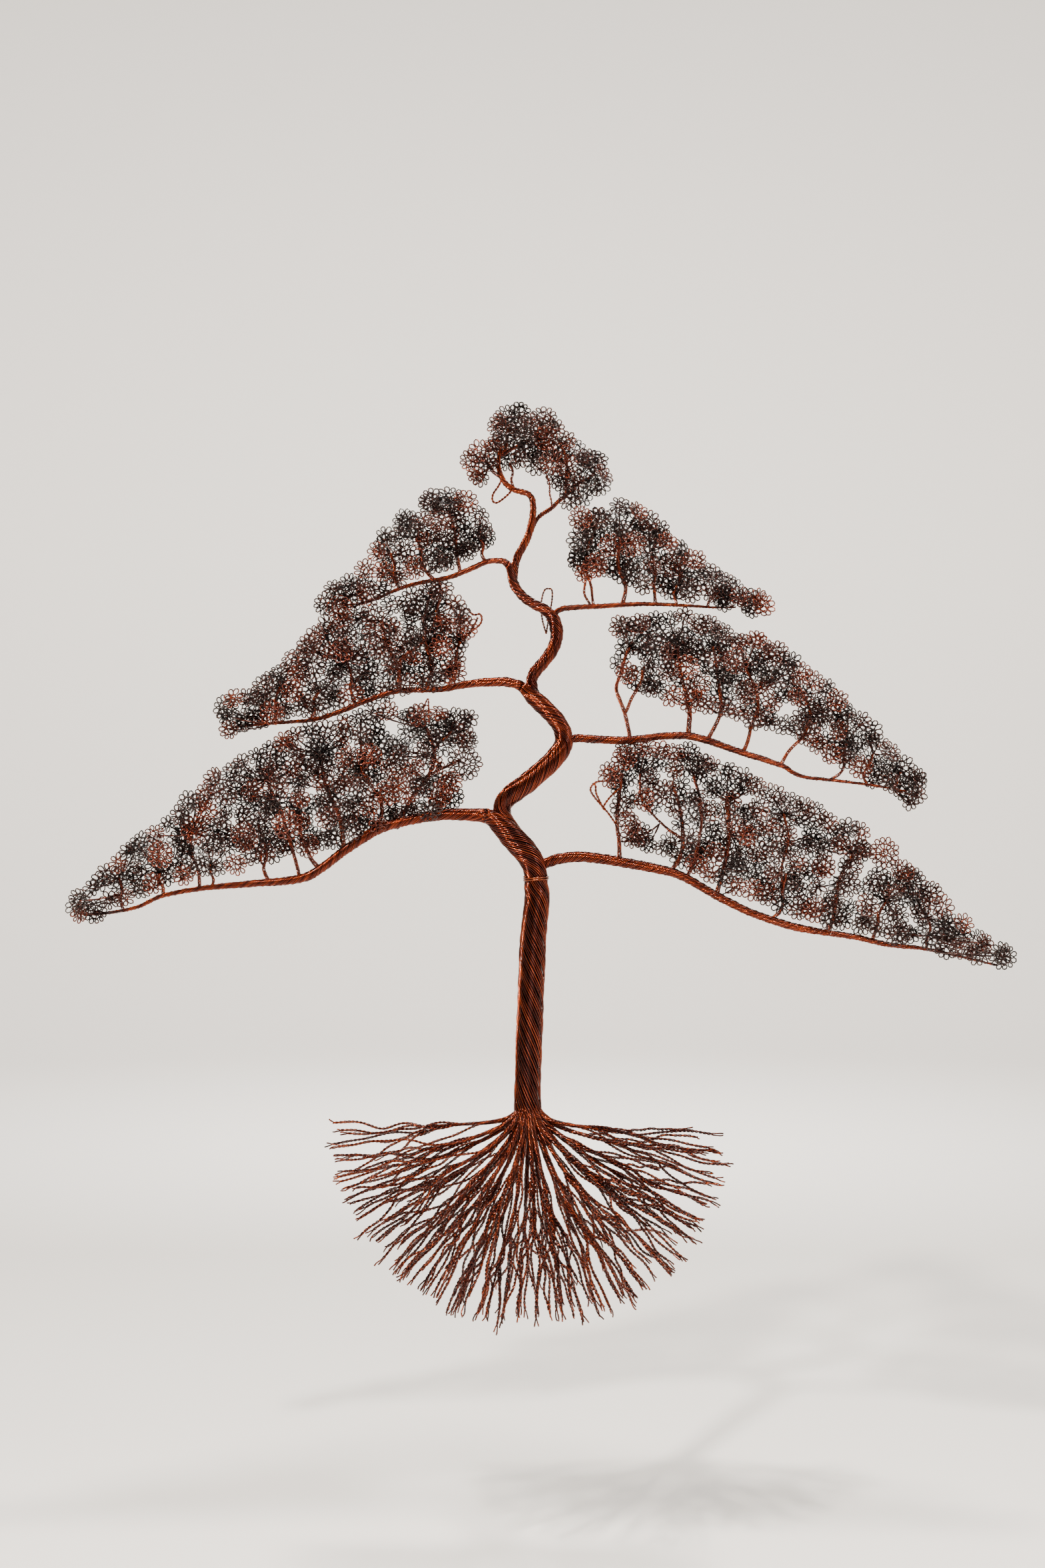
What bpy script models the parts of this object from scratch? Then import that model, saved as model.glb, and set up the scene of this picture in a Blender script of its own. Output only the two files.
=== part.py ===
"""Wall sculpture: a tree of twisted copper wire, hung from a wire loop behind its trunk.

Metres, +Z up. The front faces -Y, the wall lies on the +Y side. The origin is the
point at the top of the hanging loop where the loop bears on what it hangs from.

The shape is laid out on a front elevation drawn in grid units (u to the right,
v downwards), the way it looks from an eye point in front of the tree. The
function at() turns a grid point and a depth into a point in space.
"""

import math
import random

import bmesh
import bpy
from mathutils import Matrix, Vector

# ---------------------------------------------------------------- dimensions
UNIT = 0.00065  # one grid unit of the elevation
HANG = (823.0, 884.0)  # grid point of the hanging point, the origin
EYE = (784.0, 1176.0)  # grid point straight in front of the eye
EYE_DISTANCE = 2.10  # eye to the plane of the branches
BRANCH_PLANE = -0.020  # depth of that plane
GAP = 0.0004  # clearance between neighbouring solids

TRUNK_SIDES = 3  # bevel resolution: 10 sides
BRANCH_SIDES = 1  # 6 sides
WIRE = 0.0012  # copper wire of the trunk and roots
LOOP_WIRE = 0.0015  # thickness of the hanging loop's twisted strand

ROSETTE = 19.0  # grid radius of a common foliage rosette
CORE_HALF = 0.0125  # half thickness of a foliage pad's core
LAYER = 0.0145  # thickness of one rosette layer

ROOT_COUNT = 28
ROOT_REACH = 0.188  # root flare to root tip
ROOT_FORWARD = 38.0  # degrees, most that a root points forward

rng = random.Random(41)

# ---------------------------------------------------------------- clean scene
for thing in list(bpy.data.objects):
    bpy.data.objects.remove(thing, do_unlink=True)

tree = bpy.data.collections.new("wire_tree")
bpy.context.scene.collection.children.link(tree)
cutters = bpy.data.collections.new("cutters")
cutters.hide_render = True
bpy.context.scene.collection.children.link(cutters)


# ---------------------------------------------------------------- helpers
def at(u, v, y):
    """The point seen at (u, v) of the elevation, at depth y."""
    k = (EYE_DISTANCE + y - BRANCH_PLANE) / EYE_DISTANCE
    k0 = (EYE_DISTANCE - BRANCH_PLANE) / EYE_DISTANCE
    return Vector(
        (
            ((u - EYE[0]) * k - (HANG[0] - EYE[0]) * k0) * UNIT,
            y,
            ((EYE[1] - v) * k - (EYE[1] - HANG[1]) * k0) * UNIT,
        )
    )


def material(name, colour, roughness, metallic=1.0):
    made = bpy.data.materials.new(name)
    made.use_nodes = True
    shader = made.node_tree.nodes["Principled BSDF"]
    shader.inputs["Base Color"].default_value = (*colour, 1.0)
    shader.inputs["Roughness"].default_value = roughness
    shader.inputs["Metallic"].default_value = metallic
    return made


BUNDLE = material("copper_bundle", (0.42, 0.13, 0.055), 0.28)
FOLIAGE = material("copper_foliage", (0.30, 0.09, 0.045), 0.33)
ROOT = material("copper_roots", (0.38, 0.11, 0.05), 0.30)
STRAND = material("copper_strand", (0.34, 0.12, 0.06), 0.30)


def smooth_route(stations, step):
    """Points every `step` along a Catmull-Rom curve through (u, v, width, depth) stations."""
    rows = [
        (*at(u, v, y), width * UNIT / 2)
        for u, v, width, y in stations
    ]
    first = [2 * a - b for a, b in zip(rows[0], rows[1])]
    last = [2 * a - b for a, b in zip(rows[-1], rows[-2])]
    rows = [first] + rows + [last]
    out = []
    for i in range(1, len(rows) - 2):
        a, b, c, d = rows[i - 1 : i + 3]
        length = math.dist(b[:3], c[:3])
        count = max(1, round(length / step))
        for n in range(count):
            t = n / count
            out.append(
                tuple(
                    0.5
                    * (
                        2 * q
                        + (r - p) * t
                        + (2 * p - 5 * q + 4 * r - s) * t * t
                        + (3 * q - p - 3 * r + s) * t**3
                    )
                    for p, q, r, s in zip(a, b, c, d)
                )
            )
    out.append(tuple(rows[-2]))
    return out


def longer(points, by):
    """The same line with both ends pushed out by `by`."""
    ends = []
    for end, inner in ((points[0], points[1]), (points[-1], points[-2])):
        out = (Vector(end[:3]) - Vector(inner[:3])).normalized() * by
        ends.append((*(Vector(end[:3]) + out), end[3]))
    return [ends[0]] + points[1:-1] + [ends[1]]


def tube(name, points, sides, where, extra=0.0, cyclic=False):
    """A capped tube through (x, y, z, radius) points, made a mesh."""
    curve = bpy.data.curves.new(name + "_line", "CURVE")
    curve.dimensions = "3D"
    curve.bevel_depth = 1.0
    curve.bevel_resolution = sides
    curve.use_fill_caps = True
    spline = curve.splines.new("POLY")
    spline.points.add(len(points) - 1)
    for target, (x, y, z, r) in zip(spline.points, points):
        target.co = (x, y, z, 1.0)
        target.radius = r + extra
    spline.use_cyclic_u = cyclic
    guide = bpy.data.objects.new(name + "_line", curve)
    bpy.context.scene.collection.objects.link(guide)
    graph = bpy.context.evaluated_depsgraph_get()
    mesh = bpy.data.meshes.new_from_object(guide.evaluated_get(graph))
    weld(mesh)
    solid = bpy.data.objects.new(name, mesh)
    solid.matrix_world = guide.matrix_world.copy()
    where.objects.link(solid)
    bpy.data.objects.remove(guide, do_unlink=True)
    bpy.data.curves.remove(curve)
    return solid


def weld(mesh):
    bm = bmesh.new()
    bm.from_mesh(mesh)
    bmesh.ops.remove_doubles(bm, verts=bm.verts, dist=1e-6)
    bmesh.ops.recalc_face_normals(bm, faces=bm.faces)
    bm.to_mesh(mesh)
    bm.free()


def drop_crumbs(mesh):
    """Keeps the largest connected body of the mesh: a cut can leave crumbs beside it."""
    bm = bmesh.new()
    bm.from_mesh(mesh)
    left, bodies = set(bm.verts), []
    while left:
        body, edge = set(), {left.pop()}
        while edge:
            vert = edge.pop()
            body.add(vert)
            for line in vert.link_edges:
                other = line.other_vert(vert)
                if other not in body:
                    edge.add(other)
        left -= body
        bodies.append(body)
    largest = max(bodies, key=len)
    crumbs = [vert for body in bodies if body is not largest for vert in body]
    bmesh.ops.delete(bm, geom=crumbs, context="VERTS")
    bm.to_mesh(mesh)
    bm.free()


def helper(solid):
    solid.hide_render = True
    solid.display_type = "WIRE"
    return solid


def boolean(solid, other, operation):
    """Joins to or cuts from `solid` another object, or every object of a collection."""
    modifier = solid.modifiers.new(operation.lower(), "BOOLEAN")
    modifier.operation = operation
    modifier.solver = "EXACT"
    if isinstance(other, bpy.types.Collection):
        modifier.operand_type = "COLLECTION"
        modifier.collection = other
    else:
        modifier.object = other
    graph = bpy.context.evaluated_depsgraph_get()
    mesh = bpy.data.meshes.new_from_object(solid.evaluated_get(graph))
    solid.modifiers.remove(modifier)
    solid.data = mesh
    return solid


def group(name):
    made = bpy.data.collections.new(name)
    made.hide_render = True
    cutters.children.link(made)
    return made


def finish(solid, name, finish_material):
    """Turns the finished helper into the named node."""
    mesh = solid.data.copy()
    mesh.transform(solid.matrix_world)
    weld(mesh)
    drop_crumbs(mesh)
    mesh.name = name
    mesh.materials.clear()
    mesh.materials.append(finish_material)
    mesh.shade_smooth()
    mesh.set_sharp_from_angle(angle=math.radians(50))
    node = bpy.data.objects.new(name, mesh)
    tree.objects.link(node)
    return node


# ---------------------------------------------------------------- trunk
# (u, v, width, depth) from the root flare to the crown fork
TRUNK = [
    (795, 1698, 45, -0.023),
    (793, 1676, 42, -0.022),
    (792, 1630, 40, -0.020),
    (795, 1529, 40, -0.020),
    (800, 1411, 40, -0.020),
    (806, 1350, 38, -0.020),
    (804, 1317, 32, -0.020),
    (800, 1292, 36, -0.020),
    (772, 1263, 36, -0.020),
    (744, 1228, 34, -0.020),
    (757, 1203, 30, -0.020),
    (788, 1179, 31, -0.020),
    (818, 1152, 30, -0.020),
    (845, 1126, 28, -0.020),
    (847, 1100, 28, -0.019),
    (829, 1064, 26, -0.017),
    (808, 1040, 24, -0.015),
    (799, 1020, 19, -0.013),
    (810, 999, 18, -0.011),
    (828, 979, 19, -0.010),
    (835, 955, 20, -0.0092),
    (833, 932, 20, -0.0086),
    (815, 911, 19, -0.0082),
    (784, 891, 17, -0.010),
    (769, 867, 14, -0.014),
    (772, 843, 14, -0.017),
    (789, 810, 12.5, -0.020),
    (799, 775, 12, -0.021),
    (797, 752, 12, -0.021),
    (794, 741, 11, -0.021),
]
trunk_line = smooth_route(TRUNK, 0.0140)
trunk_body = helper(tube("trunk_body", trunk_line, TRUNK_SIDES, cutters))
trunk_clear = helper(
    tube("trunk_clear", longer(trunk_line, 1.2 * GAP), TRUNK_SIDES, cutters, GAP)
)
finish(trunk_body, "trunk", BUNDLE)

# ---------------------------------------------------------------- binding wrap
WRAP_AT = at(804.3, 1317, -0.020)
WRAP_RADIUS = 0.0121  # centre line of the wire
WRAP_TURNS = 3
WRAP_PITCH = 0.00155
WRAP_STEPS = 13
wrap_line = []
for n in range(WRAP_TURNS * WRAP_STEPS + 1):
    turn = n / WRAP_STEPS
    angle = 2 * math.pi * turn
    rise = (turn - WRAP_TURNS / 2) * WRAP_PITCH
    x, y = WRAP_RADIUS * math.cos(angle), WRAP_RADIUS * math.sin(angle)
    wrap_line.append(
        (
            WRAP_AT.x + x,
            WRAP_AT.y + y,
            WRAP_AT.z + rise + 0.09 * x,
            0.00072,
        )
    )
wrap_body = helper(tube("wrap_body", wrap_line, BRANCH_SIDES, cutters))
finish(wrap_body, "binding_wrap", STRAND)

# ---------------------------------------------------------------- hanging loop
# A long oval of twisted strand: its top bears on the hanging point, its sides
# pass behind the trunk and meet at a narrow lower end close to the trunk's back.
LOOP_HALF_WIDTH = 0.0058
LOOP_LENGTH = 0.0445
LOOP_LEAN = 0.0030
loop_line = []
LOOP_STEPS = 28
for n in range(LOOP_STEPS):
    angle = 2 * math.pi * n / LOOP_STEPS
    drop = (1 - math.cos(angle)) / 2  # 0 at the top, 1 at the lower end
    width = LOOP_HALF_WIDTH * math.sqrt(abs(math.sin(angle))) * (1 - 0.95 * drop**2)
    loop_line.append(
        (
            math.copysign(width, math.sin(angle))
            - LOOP_LEAN * math.sin(0.75 * math.pi * drop),
            0.0,
            LOOP_WIRE / 2 - drop * LOOP_LENGTH,
            LOOP_WIRE / 2,
        )
    )
loop_body = helper(tube("loop_body", loop_line, BRANCH_SIDES, cutters, cyclic=True))
finish(loop_body, "hanging_loop", STRAND)

# ---------------------------------------------------------------- branches
# each branch: its stations from the trunk outwards, then its twigs as
# (u, v, width) stations that start on the branch
BRANCHES = {
    "left_lower_branch": (
        [
            (748, 1226, 22, -0.020),
            (720, 1223, 21, -0.021),
            (666, 1222, 17, -0.022),
            (608, 1232, 15, -0.024),
            (550, 1254, 15, -0.025),
            (500, 1289, 13.5, -0.026),
            (463, 1314, 14, -0.026),
            (396, 1324, 12, -0.025),
            (300, 1333, 9, -0.023),
            (205, 1361, 7.5, -0.020),
            (157, 1370, 6.5, -0.018),
            (128, 1371, 6, -0.018),
        ],
        [
            [(245, 1340, 6), (239, 1312, 5)],
            [(318, 1330, 6), (318, 1298, 5)],
            [(403, 1322, 6), (397, 1300, 5), (398, 1268, 5)],
            [(478, 1303, 7), (463, 1286, 6), (456, 1262, 5.5)],
        ],
    ),
    "left_middle_branch": (
        [
            (806, 1040, 16, -0.017),
            (776, 1026, 15, -0.018),
            (725, 1023, 13, -0.020),
            (659, 1034, 10, -0.022),
            (588, 1037, 9.5, -0.024),
            (511, 1068, 8.5, -0.025),
            (435, 1083, 7, -0.023),
            (356, 1091, 5.5, -0.020),
        ],
        [
            [(468, 1077, 6), (471, 1056, 5), (479, 1040, 5)],
            [(532, 1060, 6), (528, 1030, 5)],
        ],
    ),
    "left_upper_branch": (
        [
            (776, 862, 12, -0.015),
            (762, 846, 12, -0.017),
            (742, 839, 11.5, -0.019),
            (700, 856, 9.5, -0.021),
            (648, 871, 8, -0.023),
            (592, 886, 6.5, -0.024),
            (552, 905, 5.5, -0.022),
            (514, 908, 5, -0.020),
        ],
        [
            [(729, 842, 6), (722, 810, 5)],
            [(651, 871, 6), (634, 845, 5)],
            [(658, 869, 5.5), (658, 905, 5), (658, 935, 5)],
        ],
    ),
    "right_lower_branch": (
        [
            (797, 1310, 16, -0.020),
            (815, 1299, 16, -0.021),
            (838, 1289, 17, -0.022),
            (867, 1285, 18, -0.023),
            (926, 1292, 16, -0.025),
            (985, 1303, 15, -0.026),
            (1035, 1319, 13, -0.027),
            (1120, 1366, 12.5, -0.027),
            (1191, 1390, 13, -0.026),
            (1281, 1405, 10.5, -0.024),
            (1387, 1423, 7.5, -0.021),
            (1492, 1447, 6, -0.018),
        ],
        [
            [(929, 1292, 7), (930, 1262, 6), (925, 1220, 6)],
            [(1006, 1311, 7), (1018, 1288, 6), (1024, 1255, 6)],
            [(1155, 1379, 6), (1168, 1366, 5), (1175, 1345, 5)],
            [(1238, 1398, 6), (1247, 1384, 6), (1251, 1356, 5)],
        ],
    ),
    "right_middle_branch": (
        [
            (848, 1112, 15, -0.020),
            (872, 1109, 14, -0.021),
            (938, 1110, 13, -0.023),
            (1022, 1104, 12.5, -0.025),
            (1091, 1121, 11.5, -0.026),
            (1149, 1139, 10, -0.026),
            (1190, 1160, 8, -0.025),
            (1283, 1174, 6.5, -0.022),
            (1358, 1187, 6, -0.019),
        ],
        [
            [(944, 1108, 6), (943, 1084, 6), (939, 1066, 6), (925, 1036, 6), (931, 1000, 5)],
            [(939, 1068, 5), (955, 1034, 5)],
            [(1033, 1104, 7), (1033, 1084, 7), (1031, 1056, 6)],
            [(1114, 1129, 6), (1128, 1099, 5), (1136, 1068, 5)],
            [(1170, 1150, 6), (1188, 1125, 5), (1204, 1106, 5)],
            [(1247, 1168, 5), (1262, 1157, 5), (1268, 1138, 5)],
        ],
    ),
    "right_upper_branch": (
        [
            (828, 918, 12, -0.0115),
            (853, 913, 11.5, -0.015),
            (889, 910, 10, -0.018),
            (975, 906, 8, -0.022),
            (1042, 909, 6.5, -0.023),
            (1104, 911, 5.5, -0.020),
        ],
        [
            [(889, 909, 7), (883, 883, 6), (879, 850, 6)],
            [(935, 907, 7), (936, 879, 6), (930, 855, 5)],
            [(984, 906, 6), (984, 884, 5), (982, 862, 5)],
            [(1015, 908, 5), (1013, 886, 5)],
        ],
    ),
    "crown_left_branch": (
        [
            (798, 752, 10, -0.021),
            (786, 743, 10, -0.022),
            (767, 735, 10, -0.023),
            (754, 720, 9.5, -0.024),
            (747, 700, 9, -0.024),
            (749, 668, 7, -0.024),
        ],
        [],
    ),
    "crown_right_branch": (
        [
            (799, 786, 9, -0.021),
            (808, 778, 8.5, -0.022),
            (826, 764, 8, -0.023),
            (844, 748, 7, -0.024),
            (866, 728, 6, -0.024),
        ],
        [
            [(827, 763, 6), (825, 743, 5), (819, 718, 5), (816, 680, 5)],
        ],
    ),
}

branch_clear = {}
for name, (stations, twigs) in BRANCHES.items():
    for extra, use in ((0.0, "body"), (GAP, "clear")):
        line = smooth_route(stations, 0.020)
        body = helper(tube(f"{name}_{use}", line, BRANCH_SIDES, cutters, extra))
        if twigs:
            shoots = group(f"{name}_{use}_twigs")
            for n, twig in enumerate(twigs):
                depth = -0.024 if name.startswith("right_upper") else -0.026
                base = min(stations, key=lambda s: math.dist(s[:2], twig[0][:2]))[3]
                path = [
                    (u, v, w, base + (depth - base) * i / (len(twig) - 1))
                    for i, (u, v, w) in enumerate(twig)
                ]
                helper(
                    tube(
                        f"{name}_{use}_twig_{n}",
                        smooth_route(path, 0.018),
                        BRANCH_SIDES,
                        shoots,
                        extra,
                    )
                )
            boolean(body, shoots, "UNION")
        if use == "body":
            boolean(body, trunk_clear, "DIFFERENCE")
            finish(body, name, BUNDLE)
        else:
            branch_clear[name] = body

# ---------------------------------------------------------------- foliage
# each pad: the outline of its mass of rosettes, and the branches it grows round
PADS = {
    "left_lower_foliage": (
        [
            (103, 1385), (110, 1342), (138, 1316), (189, 1272), (232, 1238),
            (289, 1190), (338, 1146), (400, 1116), (463, 1086), (520, 1074),
            (565, 1062), (612, 1060), (655, 1066), (703, 1064), (708, 1092),
            (722, 1145), (700, 1180), (672, 1212), (620, 1212), (575, 1228),
            (533, 1250), (495, 1266), (430, 1276), (365, 1292), (295, 1308),
            (250, 1326), (205, 1344), (160, 1358), (134, 1388),
        ],
        ["left_lower_branch", "left_middle_branch"],
    ),
    "left_middle_foliage": (
        [
            (322, 1078), (330, 1056), (381, 1032), (412, 1000), (442, 982),
            (468, 948), (503, 938), (545, 929), (590, 919), (630, 908),
            (668, 897), (692, 912), (703, 940), (696, 985), (688, 1008),
            (640, 1018), (600, 1022), (560, 1032), (520, 1048), (470, 1054),
            (420, 1066), (390, 1082), (345, 1094),
        ],
        ["left_middle_branch", "left_upper_branch"],
    ),
    "left_upper_foliage": (
        [
            (476, 914), (482, 888), (508, 868), (534, 852), (562, 812),
            (590, 785), (625, 764), (652, 738), (692, 734), (714, 764),
            (738, 786), (740, 812), (716, 826), (690, 836), (650, 849),
            (605, 864), (566, 880), (530, 899), (500, 918),
        ],
        ["left_upper_branch"],
    ),
    "right_lower_foliage": (
        [
            (908, 1156), (936, 1120), (985, 1118), (1035, 1124), (1088, 1143),
            (1146, 1177), (1207, 1192), (1241, 1222), (1291, 1234),
            (1350, 1276), (1396, 1326), (1434, 1362), (1482, 1402),
            (1527, 1430), (1518, 1452), (1470, 1446), (1423, 1432),
            (1361, 1414), (1297, 1398), (1222, 1384), (1170, 1366),
            (1129, 1348), (1080, 1328), (1040, 1308), (1006, 1285),
            (962, 1270), (934, 1258), (926, 1210),
        ],
        ["right_lower_branch", "right_middle_branch"],
    ),
    "right_middle_foliage": (
        [
            (924, 992), (935, 952), (930, 926), (975, 920), (1030, 922),
            (1066, 927), (1104, 948), (1149, 961), (1191, 988), (1227, 1017),
            (1262, 1044), (1302, 1084), (1333, 1113), (1370, 1149),
            (1389, 1172), (1384, 1206), (1364, 1210), (1330, 1180),
            (1280, 1160), (1245, 1135), (1205, 1108), (1165, 1096),
            (1105, 1080), (1066, 1066), (1015, 1050), (971, 1042), (938, 1025),
        ],
        ["right_middle_branch"],
    ),
    "right_upper_foliage": (
        [
            (862, 835), (866, 800), (872, 786), (905, 782), (925, 758),
            (956, 762), (992, 793), (1030, 826), (1072, 852), (1103, 880),
            (1143, 894), (1147, 916), (1126, 931), (1100, 915), (1060, 898),
            (1010, 890), (956, 878), (912, 863), (870, 862),
        ],
        ["right_upper_branch"],
    ),
    "crown_foliage": (
        [
            (698, 712), (700, 690), (714, 664), (740, 652), (743, 624),
            (764, 603), (798, 612), (836, 624), (856, 652), (878, 671),
            (906, 690), (921, 712), (908, 738), (884, 752), (858, 768),
            (838, 746), (822, 712), (800, 700), (772, 703), (748, 690),
            (738, 716), (715, 732),
        ],
        ["crown_left_branch", "crown_right_branch"],
    ),
}


def inside(point, outline):
    u, v = point
    hit = False
    for (ua, va), (ub, vb) in zip(outline, outline[1:] + outline[:1]):
        if (va > v) != (vb > v) and u < (ub - ua) * (v - va) / (vb - va) + ua:
            hit = not hit
    return hit


def edge_distance(point, outline):
    best = 1e9
    for a, b in zip(outline, outline[1:] + outline[:1]):
        along = Vector(b) - Vector(a)
        t = max(0.0, min(1.0, (Vector(point) - Vector(a)).dot(along) / along.length_squared))
        best = min(best, (Vector(a) + along * t - Vector(point)).length)
    return best


def inset(outline, distance):
    """The outline moved inwards by `distance` grid units."""
    turning = sum(
        a[0] * b[1] - a[1] * b[0] for a, b in zip(outline, outline[1:] + outline[:1])
    )
    side = 1.0 if turning > 0 else -1.0
    moved = []
    for i, point in enumerate(outline):
        before = Vector(outline[i - 1])
        after = Vector(outline[(i + 1) % len(outline)])
        here = Vector(point)
        one = (here - before).normalized()
        two = (after - here).normalized()
        normal = (Vector((-one.y, one.x)) + Vector((-two.y, two.x))) * side
        if normal.length < 0.2:
            continue
        normal.normalize()
        target = here + normal * distance
        if inside(target, outline) and edge_distance(target, outline) > distance * 0.6:
            moved.append((target.x, target.y))
    return moved


def walk(outline, pitch):
    """Points every `pitch` grid units along the closed outline."""
    found, carry = [], 0.0
    for a, b in zip(outline, outline[1:] + outline[:1]):
        along = Vector(b) - Vector(a)
        s = carry
        while s < along.length:
            found.append(Vector(a) + along * (s / along.length))
            s += pitch
        carry = s - along.length
    return found


def disc(name, u, v, y, radius, thick, where, tilt):
    """One rosette as a low domed disc that faces the front, tilted a little."""
    bm = bmesh.new()
    bmesh.ops.create_cone(
        bm,
        cap_ends=True,
        segments=6,
        radius1=radius * UNIT,
        radius2=radius * UNIT * 0.62,
        depth=thick,
    )
    mesh = bpy.data.meshes.new(name)
    bm.to_mesh(mesh)
    bm.free()
    turn = Matrix.Rotation(rng.uniform(-tilt, tilt), 4, "X") @ Matrix.Rotation(
        rng.uniform(-tilt, tilt), 4, "Z"
    )
    face_front = Matrix.Rotation(math.pi / 2, 4, "X") @ Matrix.Rotation(
        rng.uniform(0, 0.9), 4, "Z"
    )
    mesh.transform(Matrix.Translation(at(u, v, y)) @ turn @ face_front)
    made = bpy.data.objects.new(name, mesh)
    where.objects.link(made)
    return helper(made)


def slab(name, outline, y, half):
    """A flat body with this outline, `half` thick each way from depth y."""
    curve = bpy.data.curves.new(name, "CURVE")
    curve.dimensions = "2D"
    curve.fill_mode = "BOTH"
    curve.extrude = half
    spline = curve.splines.new("POLY")
    spline.points.add(len(outline) - 1)
    for target, (u, v) in zip(spline.points, outline):
        place = at(u, v, y)
        target.co = (place.x, place.z, 0.0, 1.0)
    spline.use_cyclic_u = True
    guide = bpy.data.objects.new(name, curve)
    guide.rotation_euler = (math.pi / 2, 0, 0)
    guide.location = (0, y, 0)
    bpy.context.scene.collection.objects.link(guide)
    bpy.context.view_layer.update()
    graph = bpy.context.evaluated_depsgraph_get()
    mesh = bpy.data.meshes.new_from_object(guide.evaluated_get(graph))
    weld(mesh)
    solid = bpy.data.objects.new(name, mesh)
    solid.matrix_world = guide.matrix_world.copy()
    cutters.objects.link(solid)
    bpy.data.objects.remove(guide, do_unlink=True)
    bpy.data.curves.remove(curve)
    return helper(solid)


for name, (outline, carried) in PADS.items():
    middle = -0.026 if name != "right_upper_foliage" else -0.024
    core = slab(name + "_core", inset(outline, 13.0), middle, CORE_HALF)
    rosettes = group(name + "_rosettes")
    ring = inset(outline, ROSETTE * 0.95)
    count = 0
    for place in walk(ring, ROSETTE * 2.8):
        layer = (-0.0085, 0.007, -0.001)[count % 3]
        size = ROSETTE * rng.uniform(1.22, 1.42)
        disc(
            f"{name}_edge_{count}", place.x, place.y, middle + layer, size,
            LAYER, rosettes, 0.20,
        )
        count += 1
    us = [p[0] for p in outline]
    vs = [p[1] for p in outline]
    pitch = ROSETTE * 4.8
    row = 0
    v = min(vs) + pitch * 0.6
    while v < max(vs):
        u = min(us) + (row % 2) * pitch / 2
        while u < max(us):
            if inside((u, v), outline) and edge_distance((u, v), outline) > ROSETTE * 1.15:
                size = ROSETTE * rng.uniform(1.5, 1.9)
                disc(
                    f"{name}_face_{count}", u, v,
                    middle - CORE_HALF - 0.006 - 0.006 * rng.random(),
                    size, LAYER, rosettes, 0.25,
                )
                count += 1
            u += pitch
        v += pitch * 0.86
        row += 1
    boolean(core, rosettes, "UNION")
    for branch in carried:
        boolean(core, branch_clear[branch], "DIFFERENCE")
    finish(core, name, FOLIAGE)

# ---------------------------------------------------------------- roots
roots_core_line = [
    (*at(795, 1699.5, -0.0233), 0.0146),
    (*at(795, 1718, -0.0255), 0.0150),
    (*at(795, 1742, -0.0310), 0.0105),
]
roots_core = helper(tube("roots_core", roots_core_line, TRUNK_SIDES, cutters))
fingers = group("root_fingers")
base = at(795, 1712, -0.0255)
for n in range(ROOT_COUNT):
    share = (n + 0.5) / ROOT_COUNT
    fan = math.radians(-90 + 180 * share) * 0.985
    forward = math.radians(ROOT_FORWARD) * (0.08, 0.75, 0.42, 0.95, 0.25)[n % 5]
    edge = abs(fan) / (math.pi / 2)
    forward *= 1 - 0.75 * edge**2
    reach = ROOT_REACH * (1.0 if n % 5 != 3 else 1.03) * (1 + 0.09 * edge)
    aim = Vector(
        (
            math.sin(fan) * math.cos(forward),
            -math.sin(forward),
            -math.cos(fan) * math.cos(forward),
        )
    )
    line = []
    for i in range(4):
        t = i / 3
        sag = 0.010 * edge * math.sin(math.pi * t)
        bend = 0.006 * math.sin(1.7 * n + 2.6 * t) * t
        side = Vector((aim.z, 0, -aim.x)).normalized()
        lift = 0.013 * edge**3 * (1 - (1 - t) ** 3)
        point = base + aim * reach * (0.015 + 0.985 * t) + side * bend
        point.z += lift + sag
        line.append((*point, 0.0038 * (1 - t) ** 0.8 + 0.0011))
    helper(tube(f"root_{n}", line, BRANCH_SIDES, fingers))
boolean(roots_core, fingers, "UNION")
boolean(roots_core, trunk_clear, "DIFFERENCE")
finish(roots_core, "roots", ROOT)

# ---------------------------------------------------------------- tidy up
for solid in list(cutters.all_objects):
    helper(solid)
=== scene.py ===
"""Looks of the wall sculpture: a tree of twisted copper wire with looped-wire foliage.

Every wire is modelled as a tube. Trunk and branches are bundles of strands laid
in a helix, twigs and roots are twisted groups, and the foliage is made of
rosettes, each one wire wound in a spiral of small loops. All sizes are metres.
Places are given on a front elevation grid, (u to the right, v downwards), as
seen from the camera, and at() turns a grid point and a depth into space.
"""

import math

import bpy
import numpy as np
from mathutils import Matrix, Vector


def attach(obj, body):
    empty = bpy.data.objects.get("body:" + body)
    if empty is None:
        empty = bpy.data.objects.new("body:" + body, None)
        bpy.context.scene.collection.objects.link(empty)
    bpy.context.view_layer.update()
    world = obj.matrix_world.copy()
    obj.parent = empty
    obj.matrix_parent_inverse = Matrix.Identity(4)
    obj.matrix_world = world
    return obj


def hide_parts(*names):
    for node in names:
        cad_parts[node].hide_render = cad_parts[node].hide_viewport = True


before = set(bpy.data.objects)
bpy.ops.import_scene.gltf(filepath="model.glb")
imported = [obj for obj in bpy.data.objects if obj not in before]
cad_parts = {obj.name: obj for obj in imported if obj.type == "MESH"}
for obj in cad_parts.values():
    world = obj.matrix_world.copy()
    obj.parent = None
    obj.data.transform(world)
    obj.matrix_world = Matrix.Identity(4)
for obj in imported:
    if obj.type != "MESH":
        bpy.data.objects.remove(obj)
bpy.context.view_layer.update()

UNIT = 0.00065
HANG = (823.0, 884.0)
EYE = (784.0, 1176.0)
EYE_DISTANCE = 2.10
BRANCH_PLANE = -0.020
HAND = -1.0  # all strands lie in a left-hand helix
WIRE = 0.00124
LEAF_WIRE = 0.00102
ROOT_WIRE = 0.00130

rng = np.random.default_rng(7)


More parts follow.
